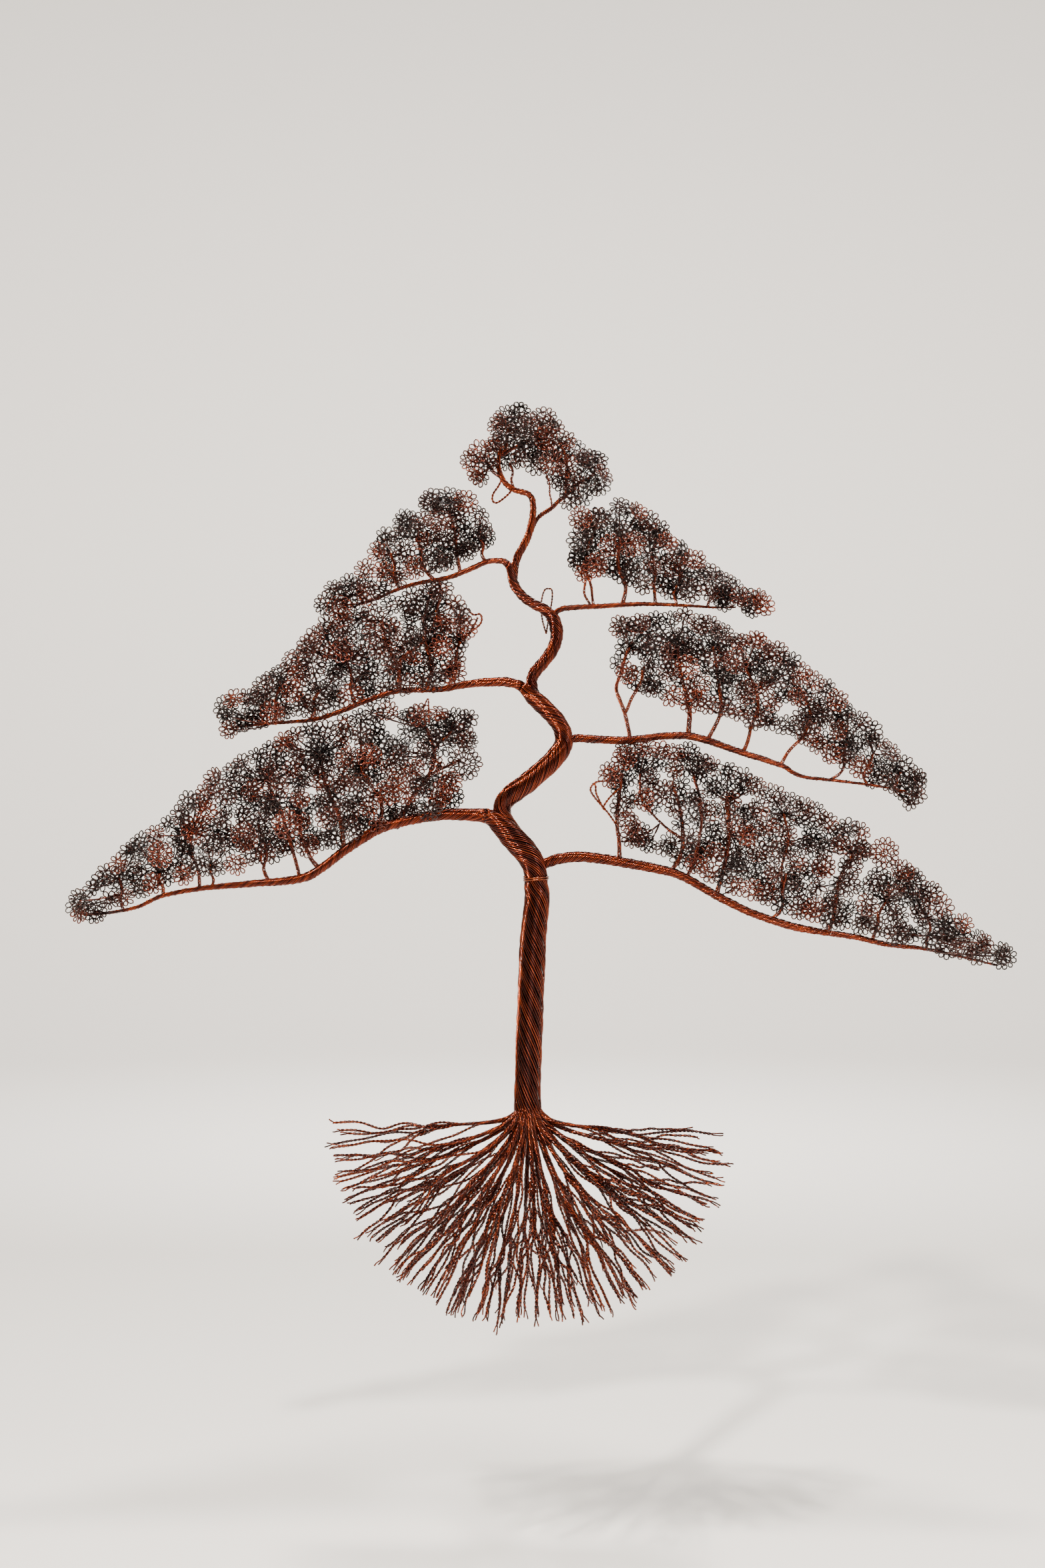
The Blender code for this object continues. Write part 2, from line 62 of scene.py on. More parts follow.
def at(u, v, y):
    """The point (or points) seen at (u, v) of the elevation, at depth y."""
    u, v, y = np.broadcast_arrays(
        np.asarray(u, float), np.asarray(v, float), np.asarray(y, float)
    )
    k = (EYE_DISTANCE + y - BRANCH_PLANE) / EYE_DISTANCE
    k0 = (EYE_DISTANCE - BRANCH_PLANE) / EYE_DISTANCE
    x = ((u - EYE[0]) * k - (HANG[0] - EYE[0]) * k0) * UNIT
    z = ((EYE[1] - v) * k - (EYE[1] - HANG[1]) * k0) * UNIT
    return np.stack([x, y, z], axis=-1)


def unit(a):
    return a / np.maximum(np.linalg.norm(a, axis=-1, keepdims=True), 1e-12)


# ------------------------------------------------------------------ mesh tools
class Wires:
    """Collects swept tubes and makes one mesh object of them."""

    everything = 0

    def __init__(self, name):
        self.name = name
        self.points, self.quads, self.caps, self.tone_and_shade = [], [], [], []
        self.count = 0

    def sweep(self, line, up, radius, sides, tone_and_shade=0.5):
        n = len(line)
        if n < 2:
            return
        along = unit(np.gradient(line, axis=0))
        side = unit(np.cross(along, up))
        over = np.cross(side, along)
        radius = np.broadcast_to(np.asarray(radius, float), (n,))
        turn = 2 * math.pi * (np.arange(sides) + 0.25) / sides
        ring = (
            line[:, None, :]
            + radius[:, None, None]
            * (
                np.cos(turn)[None, :, None] * side[:, None, :]
                + np.sin(turn)[None, :, None] * over[:, None, :]
            )
        )
        base = self.count
        self.points.append(ring.reshape(-1, 3))
        i = np.arange(n - 1)[:, None] * sides
        j = np.arange(sides)[None, :]
        k = (j + 1) % sides
        quad = np.stack([i + j, i + k, i + sides + k, i + sides + j], axis=-1)
        self.quads.append((quad.reshape(-1, 4) + base)[:, ::-1])
        first = base + np.arange(sides)
        last = base + (n - 1) * sides + np.arange(sides)
        self.caps.append(first)
        self.caps.append(last[::-1])
        self.tone_and_shade.append(np.full(n * sides, tone_and_shade, np.float32))
        self.count += n * sides

    def triangles(self):
        return sum(len(q) * 2 for q in self.quads) + sum(len(c) - 2 for c in self.caps)

    def build(self, material, slot, *nodes):
        points = np.concatenate(self.points)
        quads = np.concatenate(self.quads)
        sizes = np.concatenate(
            [np.full(len(quads), 4), np.array([len(c) for c in self.caps])]
        ).astype(np.int32)
        index = np.concatenate([quads.reshape(-1)] + list(self.caps)).astype(np.int32)
        starts = np.concatenate([[0], np.cumsum(sizes)[:-1]]).astype(np.int32)
        mesh = bpy.data.meshes.new(self.name)
        mesh.vertices.add(len(points))
        mesh.vertices.foreach_set("co", points.astype(np.float32).reshape(-1))
        mesh.loops.add(len(index))
        mesh.loops.foreach_set("vertex_index", index)
        mesh.polygons.add(len(sizes))
        mesh.polygons.foreach_set("loop_start", starts)
        mesh.polygons.foreach_set("use_smooth", np.ones(len(sizes), bool))
        # Per-vertex value: a random colour per wire, plus painted shade (rope cores darkest, back-layer rosettes
        # darker).
        layer = mesh.attributes.new("tone_and_shade", "FLOAT", "POINT")
        layer.data.foreach_set("value", np.concatenate(self.tone_and_shade))
        mesh.update(calc_edges=True)
        mesh.validate()
        made = bpy.data.objects.new(self.name, mesh)
        bpy.context.scene.collection.objects.link(made)
        made.data.materials.append(material)
        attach(made, "root")
        if nodes:
            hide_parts(*nodes)
        Wires.everything += self.triangles()
        print(f"{self.name}: {self.triangles()} triangles")
        return made


def route(stations, step):
    """Dense points and radii along a Catmull-Rom curve through (u, v, width, depth)."""
    rows = np.array(
        [[*at(u, v, y), width * UNIT / 2] for u, v, width, y in stations], float
    )
    rows = np.vstack([2 * rows[0] - rows[1], rows, 2 * rows[-1] - rows[-2]])
    out = []
    for i in range(1, len(rows) - 2):
        a, b, c, d = rows[i - 1 : i + 3]
        count = max(1, int(round(np.linalg.norm(c[:3] - b[:3]) / step)))
        t = (np.arange(count) / count)[:, None]
        out.append(
            0.5
            * (
                2 * b
                + (c - a) * t
                + (2 * a - 5 * b + 4 * c - d) * t * t
                + (3 * b - a - 3 * c + d) * t**3
            )
        )
    out.append(rows[-2][None])
    rows = np.vstack(out)
    return rows[:, :3], np.maximum(rows[:, 3], 0.0005)


def frames(line):
    """Unit tangents and two turning-free normals along a line."""
    along = unit(np.gradient(line, axis=0))
    n = len(line)
    one = np.zeros_like(line)
    start = np.array([0.0, -1.0, 0.0])
    if abs(along[0] @ start) > 0.9:
        start = np.array([1.0, 0.0, 0.0])
    here = start - along[0] * (start @ along[0])
    one[0] = here / np.linalg.norm(here)
    for i in range(1, n):
        here = one[i - 1] - along[i] * (one[i - 1] @ along[i])
        one[i] = here / max(np.linalg.norm(here), 1e-12)
    return along, one, np.cross(along, one)


def lengths(line):
    return np.concatenate(
        [[0.0], np.cumsum(np.linalg.norm(np.diff(line, axis=0), axis=1))]
    )


def resample(line, step, *more):
    s = lengths(line)
    count = max(2, int(round(s[-1] / step)) + 1)
    t = np.linspace(0, s[-1], count)
    out = [np.stack([np.interp(t, s, line[:, i]) for i in range(3)], axis=1)]
    for row in more:
        out.append(np.interp(t, s, row))
    return out


def smooth(values, width):
    if width < 2:
        return values
    kernel = np.hanning(width + 2)[1:-1]
    kernel /= kernel.sum()
    pad = np.pad(values, width, mode="edge")
    return np.convolve(pad, kernel, mode="same")[width:-width]


def bundle(out, line, radius, lean, step=0.004, wire=WIRE, sides=5, core=9, relief=0.8,
           seam=None, cut=None, rest=None, group=(2, 4)):
    """A rope of strands round `line`: its outer layer wire by wire, over a core tube in the darkest colour, painted
    shade between the wires.

    The wires lie in groups, each a rounded ridge with a groove beside it. `seam` is
    the length along the rope at which the thinning-out of wires faces backwards.
    From the length `cut` on, the same wires are added to `rest` instead of `out`."""
    angle = np.broadcast_to(np.asarray(lean, float), (len(line),))
    line, radius, angle = resample(line, step, radius, angle)
    s = lengths(line)
    along, one, two = frames(line)
    radius = np.maximum(radius, wire * 0.98)
    middle = radius - wire * 0.62
    places, lifts = [], []
    p = 0.0
    while p < 2 * math.pi * middle.max() / wire + 4:
        n = int(rng.integers(group[0], group[1] + 1))
        raised = rng.uniform(-0.22, 0.24)
        for j in range(n):
            places.append(p + 0.5)
            lifts.append(relief * (math.sin(math.pi * (j + 0.5) / n) - 0.62) * 0.85 + raised)
            p += 0.96
        p += 0.34
    places, lifts = np.array(places), np.array(lifts) * wire
    room = np.minimum.accumulate(2 * math.pi * middle / wire)
    held = np.array([np.searchsorted(places, u - 0.35) for u in room]).clip(3)
    total = smooth(places[held - 1] + 0.6, max(2, int(0.012 / step)))
    rate = np.tan(np.radians(angle)) / np.maximum(radius, 0.0018)
    phase = HAND * np.concatenate([[0.0], np.cumsum((rate[1:] + rate[:-1]) / 2 * np.diff(s))])
    if seam is None:
        phase = phase + rng.uniform(0, 6.28)
    else:
        phase = phase - np.interp(seam, s, phase) + math.pi
    for k in range(int(held.max())):
        alive = np.nonzero(k < held)[0]
        if len(alive) < 3:
            continue
        end = min(len(s), alive[-1] + 1 + max(2, int(0.008 / step)))
        m = slice(0, end)
        theta = phase[m] + 2 * math.pi * places[k] / total[m]
        wander = 0.09 * wire * np.sin(s[m] / rng.uniform(0.009, 0.022) + rng.uniform(0, 6.28))
        out_by = middle[m] + lifts[k] * np.minimum(1.0, middle[m] / (3.2 * wire)) + wander
        theta = theta + 0.3 * wander / np.maximum(middle[m], wire)
        if end < len(s):
            fade = np.clip((np.arange(end) - alive[-1]) / max(1, end - alive[-1] - 1), 0, 1)
            out_by = out_by - fade * 1.6 * wire
        radial = np.cos(theta)[:, None] * one[m] + np.sin(theta)[:, None] * two[m]
        path = line[m] + radial * out_by[:, None]
        tone_and_shade = rng.uniform(0.25, 0.85)
        size = wire / 2 * rng.uniform(0.97, 1.05)
        split = end if cut is None else min(end, int(np.searchsorted(s, cut)) + 1)
        if split >= 2:
            out.sweep(path[:split], radial[:split], size, sides, tone_and_shade=tone_and_shade)
        if split < end - 1:
            rest.sweep(path[split - 1 :], radial[split - 1 :], size, sides, tone_and_shade=tone_and_shade)
    # The core tube is given the darkest end of the copper ramp: painted shade seen through the gaps between the outer
    # wires.
    inner = radius - wire * 1.45
    if core and inner.max() > 0.0004:
        keep = inner > 0.0003
        last = len(inner) if keep.all() else int(np.argmin(keep))
        split = last if cut is None else min(last, int(np.searchsorted(s, cut)) + 1)
        if split > 2:
            out.sweep(line[:split], one[:split], np.maximum(inner[:split], 0.0003), core, tone_and_shade=0.0)
        if last - split > 2:
            rest.sweep(line[split - 1 : last], one[split - 1 : last],
                       np.maximum(inner[split - 1 : last], 0.0003), core, tone_and_shade=0.0)


def twisted(out, line, wire, turn, step, count=2, sides=4, spread=None, start=0.0):
    """`count` wires twisted round each other along `line`; `turn` is one full turn's length.
    `spread` = (length, width) lets the ends of the wires come apart."""
    line, = resample(line, step)
    s = lengths(line)
    along, one, two = frames(line)
    offset = wire / 2 if count == 2 else wire / 2 / math.sin(math.pi / count)
    away = np.full(len(s), offset * 1.02)
    swing = HAND * 2 * math.pi * s / turn + start
    if spread is not None:
        length, wide = spread
        open_end = np.clip((s - (s[-1] - length)) / max(length, 1e-9), 0, 1)
        away = away + wide * open_end**1.3
        stop = np.clip(s, 0, s[-1] - length)
        swing = HAND * 2 * math.pi * (stop + 0.25 * (s - stop)) / turn + start
    for k in range(count):
        theta = swing + 2 * math.pi * k / count
        radial = np.cos(theta)[:, None] * one + np.sin(theta)[:, None] * two
        short = len(s) if spread is None else len(s) - int(rng.integers(0, 3))
        out.sweep(
            line[:short] + (radial * away[:, None])[:short], radial[:short], wire / 2, sides,
            tone_and_shade=rng.uniform(0.25, 0.85),
        )


# ------------------------------------------------------------------ materials
def copper(name, dark, mid, bright, rough, coat):
    """Enamelled copper wire: each wire has its own random colour along the ramp, with browner patches along it; the
    same per-vertex value also carries painted shade, darkest on rope cores and darker on back-layer rosettes.
    """
    made = bpy.data.materials.new(name)
    made.use_nodes = True
    tree = made.node_tree
    nodes, links = tree.nodes, tree.links
    shader = nodes["Principled BSDF"]
    place = nodes.new("ShaderNodeTexCoord")
    patch = nodes.new("ShaderNodeTexNoise")
    patch.inputs["Scale"].default_value = 38.0
    patch.inputs["Detail"].default_value = 4.0
    patch.inputs["Roughness"].default_value = 0.6
    links.new(place.outputs["Object"], patch.inputs["Vector"])
    fine = nodes.new("ShaderNodeTexNoise")
    fine.inputs["Scale"].default_value = 900.0
    fine.inputs["Detail"].default_value = 3.0
    links.new(place.outputs["Object"], fine.inputs["Vector"])
    tone_and_shade = nodes.new("ShaderNodeAttribute")
    tone_and_shade.attribute_name = "tone_and_shade"
    add = nodes.new("ShaderNodeMath")
    add.operation = "MULTIPLY_ADD"
    links.new(patch.outputs["Fac"], add.inputs[0])
    add.inputs[1].default_value = 0.85
    links.new(tone_and_shade.outputs["Fac"], add.inputs[2])
    shift = nodes.new("ShaderNodeMath")
    shift.operation = "SUBTRACT"
    links.new(add.outputs[0], shift.inputs[0])
    shift.inputs[1].default_value = 0.42
    ramp = nodes.new("ShaderNodeValToRGB")
    ramp.color_ramp.elements[0].position = 0.05
    ramp.color_ramp.elements[0].color = (*dark, 1)
    ramp.color_ramp.elements[1].position = 0.95
    ramp.color_ramp.elements[1].color = (*bright, 1)
    half = ramp.color_ramp.elements.new(0.5)
    half.color = (*mid, 1)
    links.new(shift.outputs[0], ramp.inputs["Fac"])
    links.new(ramp.outputs["Color"], shader.inputs["Base Color"])
    level = nodes.new("ShaderNodeMapRange")
    level.inputs["To Min"].default_value = rough - 0.06
    level.inputs["To Max"].default_value = rough + 0.09
    links.new(fine.outputs["Fac"], level.inputs["Value"])
    links.new(level.outputs["Result"], shader.inputs["Roughness"])
    bump = nodes.new("ShaderNodeBump")
    bump.inputs["Strength"].default_value = 0.10
    bump.inputs["Distance"].default_value = 0.0002
    links.new(fine.outputs["Fac"], bump.inputs["Height"])
    links.new(bump.outputs["Normal"], shader.inputs["Normal"])
    shader.inputs["Metallic"].default_value = 1.0
    shader.inputs["Coat Weight"].default_value = coat
    shader.inputs["Coat Roughness"].default_value = 0.06
    shader.inputs["Coat IOR"].default_value = 1.5
    return made


BUNDLE = copper("copper_bundle", (0.016, 0.0016, 0.0005), (0.078, 0.0090, 0.0022), (0.23, 0.036, 0.0080), 0.17, 0.30)
LEAF = copper("copper_foliage", (0.006, 0.0010, 0.0005), (0.026, 0.0036, 0.0012), (0.11, 0.0150, 0.0040), 0.14, 0.50)
ROOT = copper("copper_roots", (0.012, 0.0014, 0.0005), (0.058, 0.0068, 0.0018), (0.19, 0.030, 0.0070), 0.17, 0.30)
STRAND = copper("copper_strand", (0.014, 0.002, 0.0007), (0.06, 0.0090, 0.0025), (0.20, 0.040, 0.0100), 0.17, 0.3)

# ------------------------------------------------------------------ trunk and its four turns
# Each rope leaves the one below it from behind and ends as a branch on the left.
LOWER = [
    (795, 1706, 22, -0.0235), (795, 1700, 30, -0.0230), (795, 1692, 37, -0.0225),
    (794, 1680, 40, -0.0215), (792, 1660, 41, -0.0205), (792, 1630, 40, -0.020),
    (795, 1529, 40, -0.020), (800, 1411, 40, -0.020), (806, 1350, 38, -0.020),
    (804.5, 1330, 36, -0.020), (804.3, 1317, 34.5, -0.020), (802, 1302, 35.5, -0.020),
    (796, 1288, 36.5, -0.0205), (783, 1271, 37, -0.021), (766.5, 1253.5, 36, -0.0215),
    (751.5, 1238.5, 31, -0.0215), (739, 1227.5, 25, -0.0215), (727, 1223.5, 22, -0.0215),
    (712, 1222.5, 20.5, -0.0215), (690, 1221.5, 18.5, -0.022), (666, 1222, 17, -0.0225),
    (637, 1226, 15.5, -0.023), (608, 1232, 15, -0.024), (575, 1241, 15, -0.0245),
    (550, 1254, 15, -0.025), (524, 1271, 14.5, -0.026), (500, 1289, 14, -0.026),
    (480, 1304, 14, -0.026), (463, 1314, 14, -0.026), (434, 1321, 13, -0.026),
    (396, 1324, 12, -0.025), (350, 1328, 10.5, -0.024), (300, 1333, 9, -0.023),
    (243, 1344, 8, -0.021), (205, 1361, 7, -0.020), (157, 1370, 6, -0.018),
    (126, 1371, 5, -0.018),
]
SECOND = [
    (776, 1252, 22, -0.0105), (762, 1236, 25, -0.0115), (753.5, 1219, 27, -0.0135),
    (757, 1202, 29, -0.0165), (771, 1189, 30.5, -0.019), (790, 1175, 31, -0.020),
    (812, 1157, 30.5, -0.020), (832, 1138, 30, -0.020), (844, 1120, 29, -0.020),
    (846, 1106, 27.5, -0.0195), (843, 1094, 26, -0.019), (834.5, 1080, 25.5, -0.0185),
    (818, 1062, 26, -0.018), (803.7, 1049, 25, -0.0175), (792, 1037.8, 20.5, -0.017),
    (783.5, 1030.5, 16.5, -0.017), (774.5, 1026, 15.3, -0.017), (763, 1023.3, 15, -0.0175),
    (751, 1022.5, 15, -0.018), (738, 1023, 14.5, -0.0185), (725, 1023.5, 13.5, -0.0195),
    (692, 1028, 11.5, -0.021), (659, 1034, 10, -0.022), (620, 1035, 9.5, -0.023),
    (588, 1038, 9, -0.024), (550, 1051, 9, -0.025), (511, 1067, 8.5, -0.025),
    (473, 1079, 7.5, -0.024), (435, 1083, 6.5, -0.023), (396, 1086, 5.5, -0.022),
    (350, 1091, 4.5, -0.020),
]
THIRD = [
    (806, 1049, 14, -0.0095), (800, 1036, 16.5, -0.0095), (797.5, 1022, 18, -0.0105),
    (802, 1009, 18.4, -0.0110), (811, 999, 18.7, -0.0105), (824, 983, 19, -0.0100),
    (833, 965, 19.6, -0.0094), (835.3, 952, 20, -0.0091), (834, 938, 20.5, -0.0088),
    (830, 927, 19.5, -0.0085), (823, 919, 17.5, -0.0083), (814, 912.5, 16, -0.0083),
    (801, 906.5, 15.8, -0.0086), (788.5, 898, 14.6, -0.0096), (777.6, 886.5, 14.8, -0.0110),
    (770.3, 873.3, 15, -0.0130), (767.2, 860, 13.8, -0.0145), (764, 849, 12.4, -0.0155),
    (758, 843, 11, -0.0165), (751, 841, 10.2, -0.0175), (740, 841, 9.8, -0.019),
    (728, 843.5, 9.6, -0.020), (700, 856, 9.2, -0.021), (674, 866, 8.5, -0.022),
    (648, 871, 8, -0.023), (618, 877, 7.2, -0.0235), (592, 886, 6.5, -0.024),
    (552, 903, 5.5, -0.022), (514, 908, 4.5, -0.020),
]
FOURTH = [
    (772.5, 868, 10, -0.0100), (772.3, 857, 11.5, -0.0120), (773.5, 846, 12.3, -0.0145),
    (777, 834, 12.6, -0.017), (783, 823.5, 12.6, -0.0185), (789, 812, 12, -0.020),
    (794, 799, 12, -0.0205), (797.5, 786, 11.8, -0.021), (799.6, 773, 11, -0.021),
    (800, 760, 10.6, -0.021), (798.5, 748.5, 10.3, -0.0212), (793, 741, 10, -0.0218),
    (784, 738, 9.8, -0.0222), (774, 735.5, 9.6, -0.0228), (763.5, 730, 9.4, -0.0232),
    (755, 720.5, 9, -0.0238), (750, 709, 8.5, -0.024), (748, 700, 7.8, -0.024),
    (749, 684, 6.6, -0.024), (752, 666, 5.4, -0.024),
]

trunk = Wires("trunk_wires")
limbs = {}


def cut_at(stations, line, u, v):
    """Length along `line` nearest the elevation point (u, v)."""
    p = at(u, v, BRANCH_PLANE)
    i = int(np.argmin(np.linalg.norm((line - p)[:, [0, 2]], axis=1)))
    return lengths(line)[i]


for stations, limb, place, seam, angles in (
    (LOWER, "left_lower_branch", (733, 1225), (758, 1246),
     [(0, 18), (0.03, 24), (0.10, 28), (0.20, 33), (0.26, 34), (0.29, 37), (0.36, 39), (0.40, 42), (1.0, 42)]),
    (SECOND, "left_middle_branch", (783, 1030), (800, 1046),
     [(0, 37), (1.0, 41)]),
    (THIRD, "left_upper_branch", (762, 847), (770, 872),
     [(0, 39), (1.0, 42)]),
    (FOURTH, "crown_left_branch", (797, 746), (799, 755),
     [(0, 39), (1.0, 38)]),
):
    line, radius = route(stations, 0.002)
    s = lengths(line)
    limbs[limb] = Wires(limb + "_wires")
    lean = np.interp(s, [a for a, _ in angles], [b for _, b in angles])
    bundle(
        trunk, line, radius, lean, step=0.0036, cut=cut_at(stations, line, *place),
        seam=cut_at(stations, line, *seam), rest=limbs[limb],
    )
trunk.build(BUNDLE, "copper_bundle", "trunk")

# ------------------------------------------------------------------ binding wrap
wrap = Wires("binding_wrap_wires")
middle = at(804.3, 1317, -0.020)
turns = np.linspace(0, 2.3, 65)
angle = 2 * math.pi * turns + 1.9
ring = np.stack([np.cos(angle), np.sin(angle), 0 * angle], axis=1)
wrap_line = middle + ring * 0.0121
wrap_line[:, 2] += (turns - 1.2) * 0.00185 + 0.04 * 0.0121 * np.cos(angle)
wrap.sweep(wrap_line, ring, 0.00088, 8, tone_and_shade=0.75)
wrap.build(STRAND, "copper_strand", "binding_wrap")

# ------------------------------------------------------------------ hanging loop
steps = 200
angle = 2 * math.pi * np.arange(steps + 1) / steps
drop = (1 - np.cos(angle)) / 2
wide = 0.0058 * np.sqrt(np.abs(np.sin(angle))) * (1 - 0.95 * drop**2)
loop_line = np.stack(
    [
        np.copysign(wide, np.sin(angle)) - 0.0030 * np.sin(0.75 * math.pi * drop),
        0 * angle,
        0.00075 - drop * 0.0445,
    ],
    axis=1,
)
hanger = Wires("hanging_loop_wires")
twisted(hanger, loop_line, 0.00105, 0.0058, 0.0008, count=2, sides=6)
hanger.build(STRAND, "copper_strand", "hanging_loop")

# ------------------------------------------------------------------ branches
RIGHT = {
    "right_lower_branch": [
        (792, 1326, 14, -0.014), (800, 1312, 15, -0.0145), (811, 1300, 16, -0.0165),
        (824, 1293, 16.5, -0.019), (840, 1288, 17, -0.0215), (867, 1285, 17, -0.023),
        (895, 1287, 16.5, -0.024), (926, 1292, 16, -0.025), (955, 1297, 15.5, -0.0255),
        (985, 1303, 15, -0.026), (1010, 1309, 14, -0.0265), (1035, 1320, 13.5, -0.027),
        (1057, 1333, 13, -0.027), (1078, 1345, 13, -0.027), (1120, 1366, 12.5, -0.027),
        (1155, 1379, 12.5, -0.0265), (1191, 1390, 12.5, -0.026), (1234, 1398, 11, -0.025),
        (1281, 1405, 10, -0.024), (1334, 1417, 9, -0.022), (1387, 1423, 7, -0.021),
        (1451, 1437, 5.5, -0.019), (1496, 1448, 4.5, -0.018),
    ],
    "right_middle_branch": [
        (834, 1124, 11, -0.0155), (845, 1114, 12.5, -0.0165), (857, 1109, 13, -0.0185),
        (872, 1107.5, 13.5, -0.0205), (905, 1109.5, 13.3, -0.022), (938, 1110.5, 13, -0.023),
        (962, 1108, 12.5, -0.0235), (986, 1105, 12, -0.024), (1022, 1103, 12.5, -0.025),
        (1053, 1108, 12.5, -0.0255), (1091, 1121, 11, -0.026), (1120, 1131, 10.5, -0.026),
        (1149, 1140, 10, -0.026), (1177, 1150, 8.5, -0.0255), (1190, 1159, 7.8, -0.025),
        (1210, 1166, 7, -0.0243), (1247, 1170, 6.5, -0.023), (1311, 1178, 5.5, -0.021),
        (1361, 1187, 4.5, -0.019),
    ],
    "right_upper_branch": [
        (822, 932, 8, -0.0085), (831, 921, 9, -0.0100), (843, 913.5, 9.5, -0.0125),
        (857, 911.5, 9.5, -0.0150), (873, 910.5, 9, -0.0170), (905, 909, 9, -0.0190),
        (936, 907, 8.5, -0.020), (975, 906, 7.5, -0.022), (1042, 909, 6, -0.023),
        (1070, 911, 5, -0.022), (1104, 911, 4.5, -0.020),
    ],
    "crown_right_branch": [
        (800, 792, 6.5, -0.0170), (803.5, 782, 7.5, -0.0185), (812, 772.5, 7.8, -0.0210),
        (827, 762.5, 8, -0.023), (838, 752, 7.8, -0.024), (848, 743.5, 7.4, -0.024),
        (857, 736, 6.5, -0.024), (870, 722, 5, -0.024),
    ],
}
for name, stations in RIGHT.items():
    limbs[name] = Wires(name + "_wires")
    line, radius = route(stations, 0.002)
    bundle(limbs[name], line, radius, 43.0, step=0.0032, core=6)

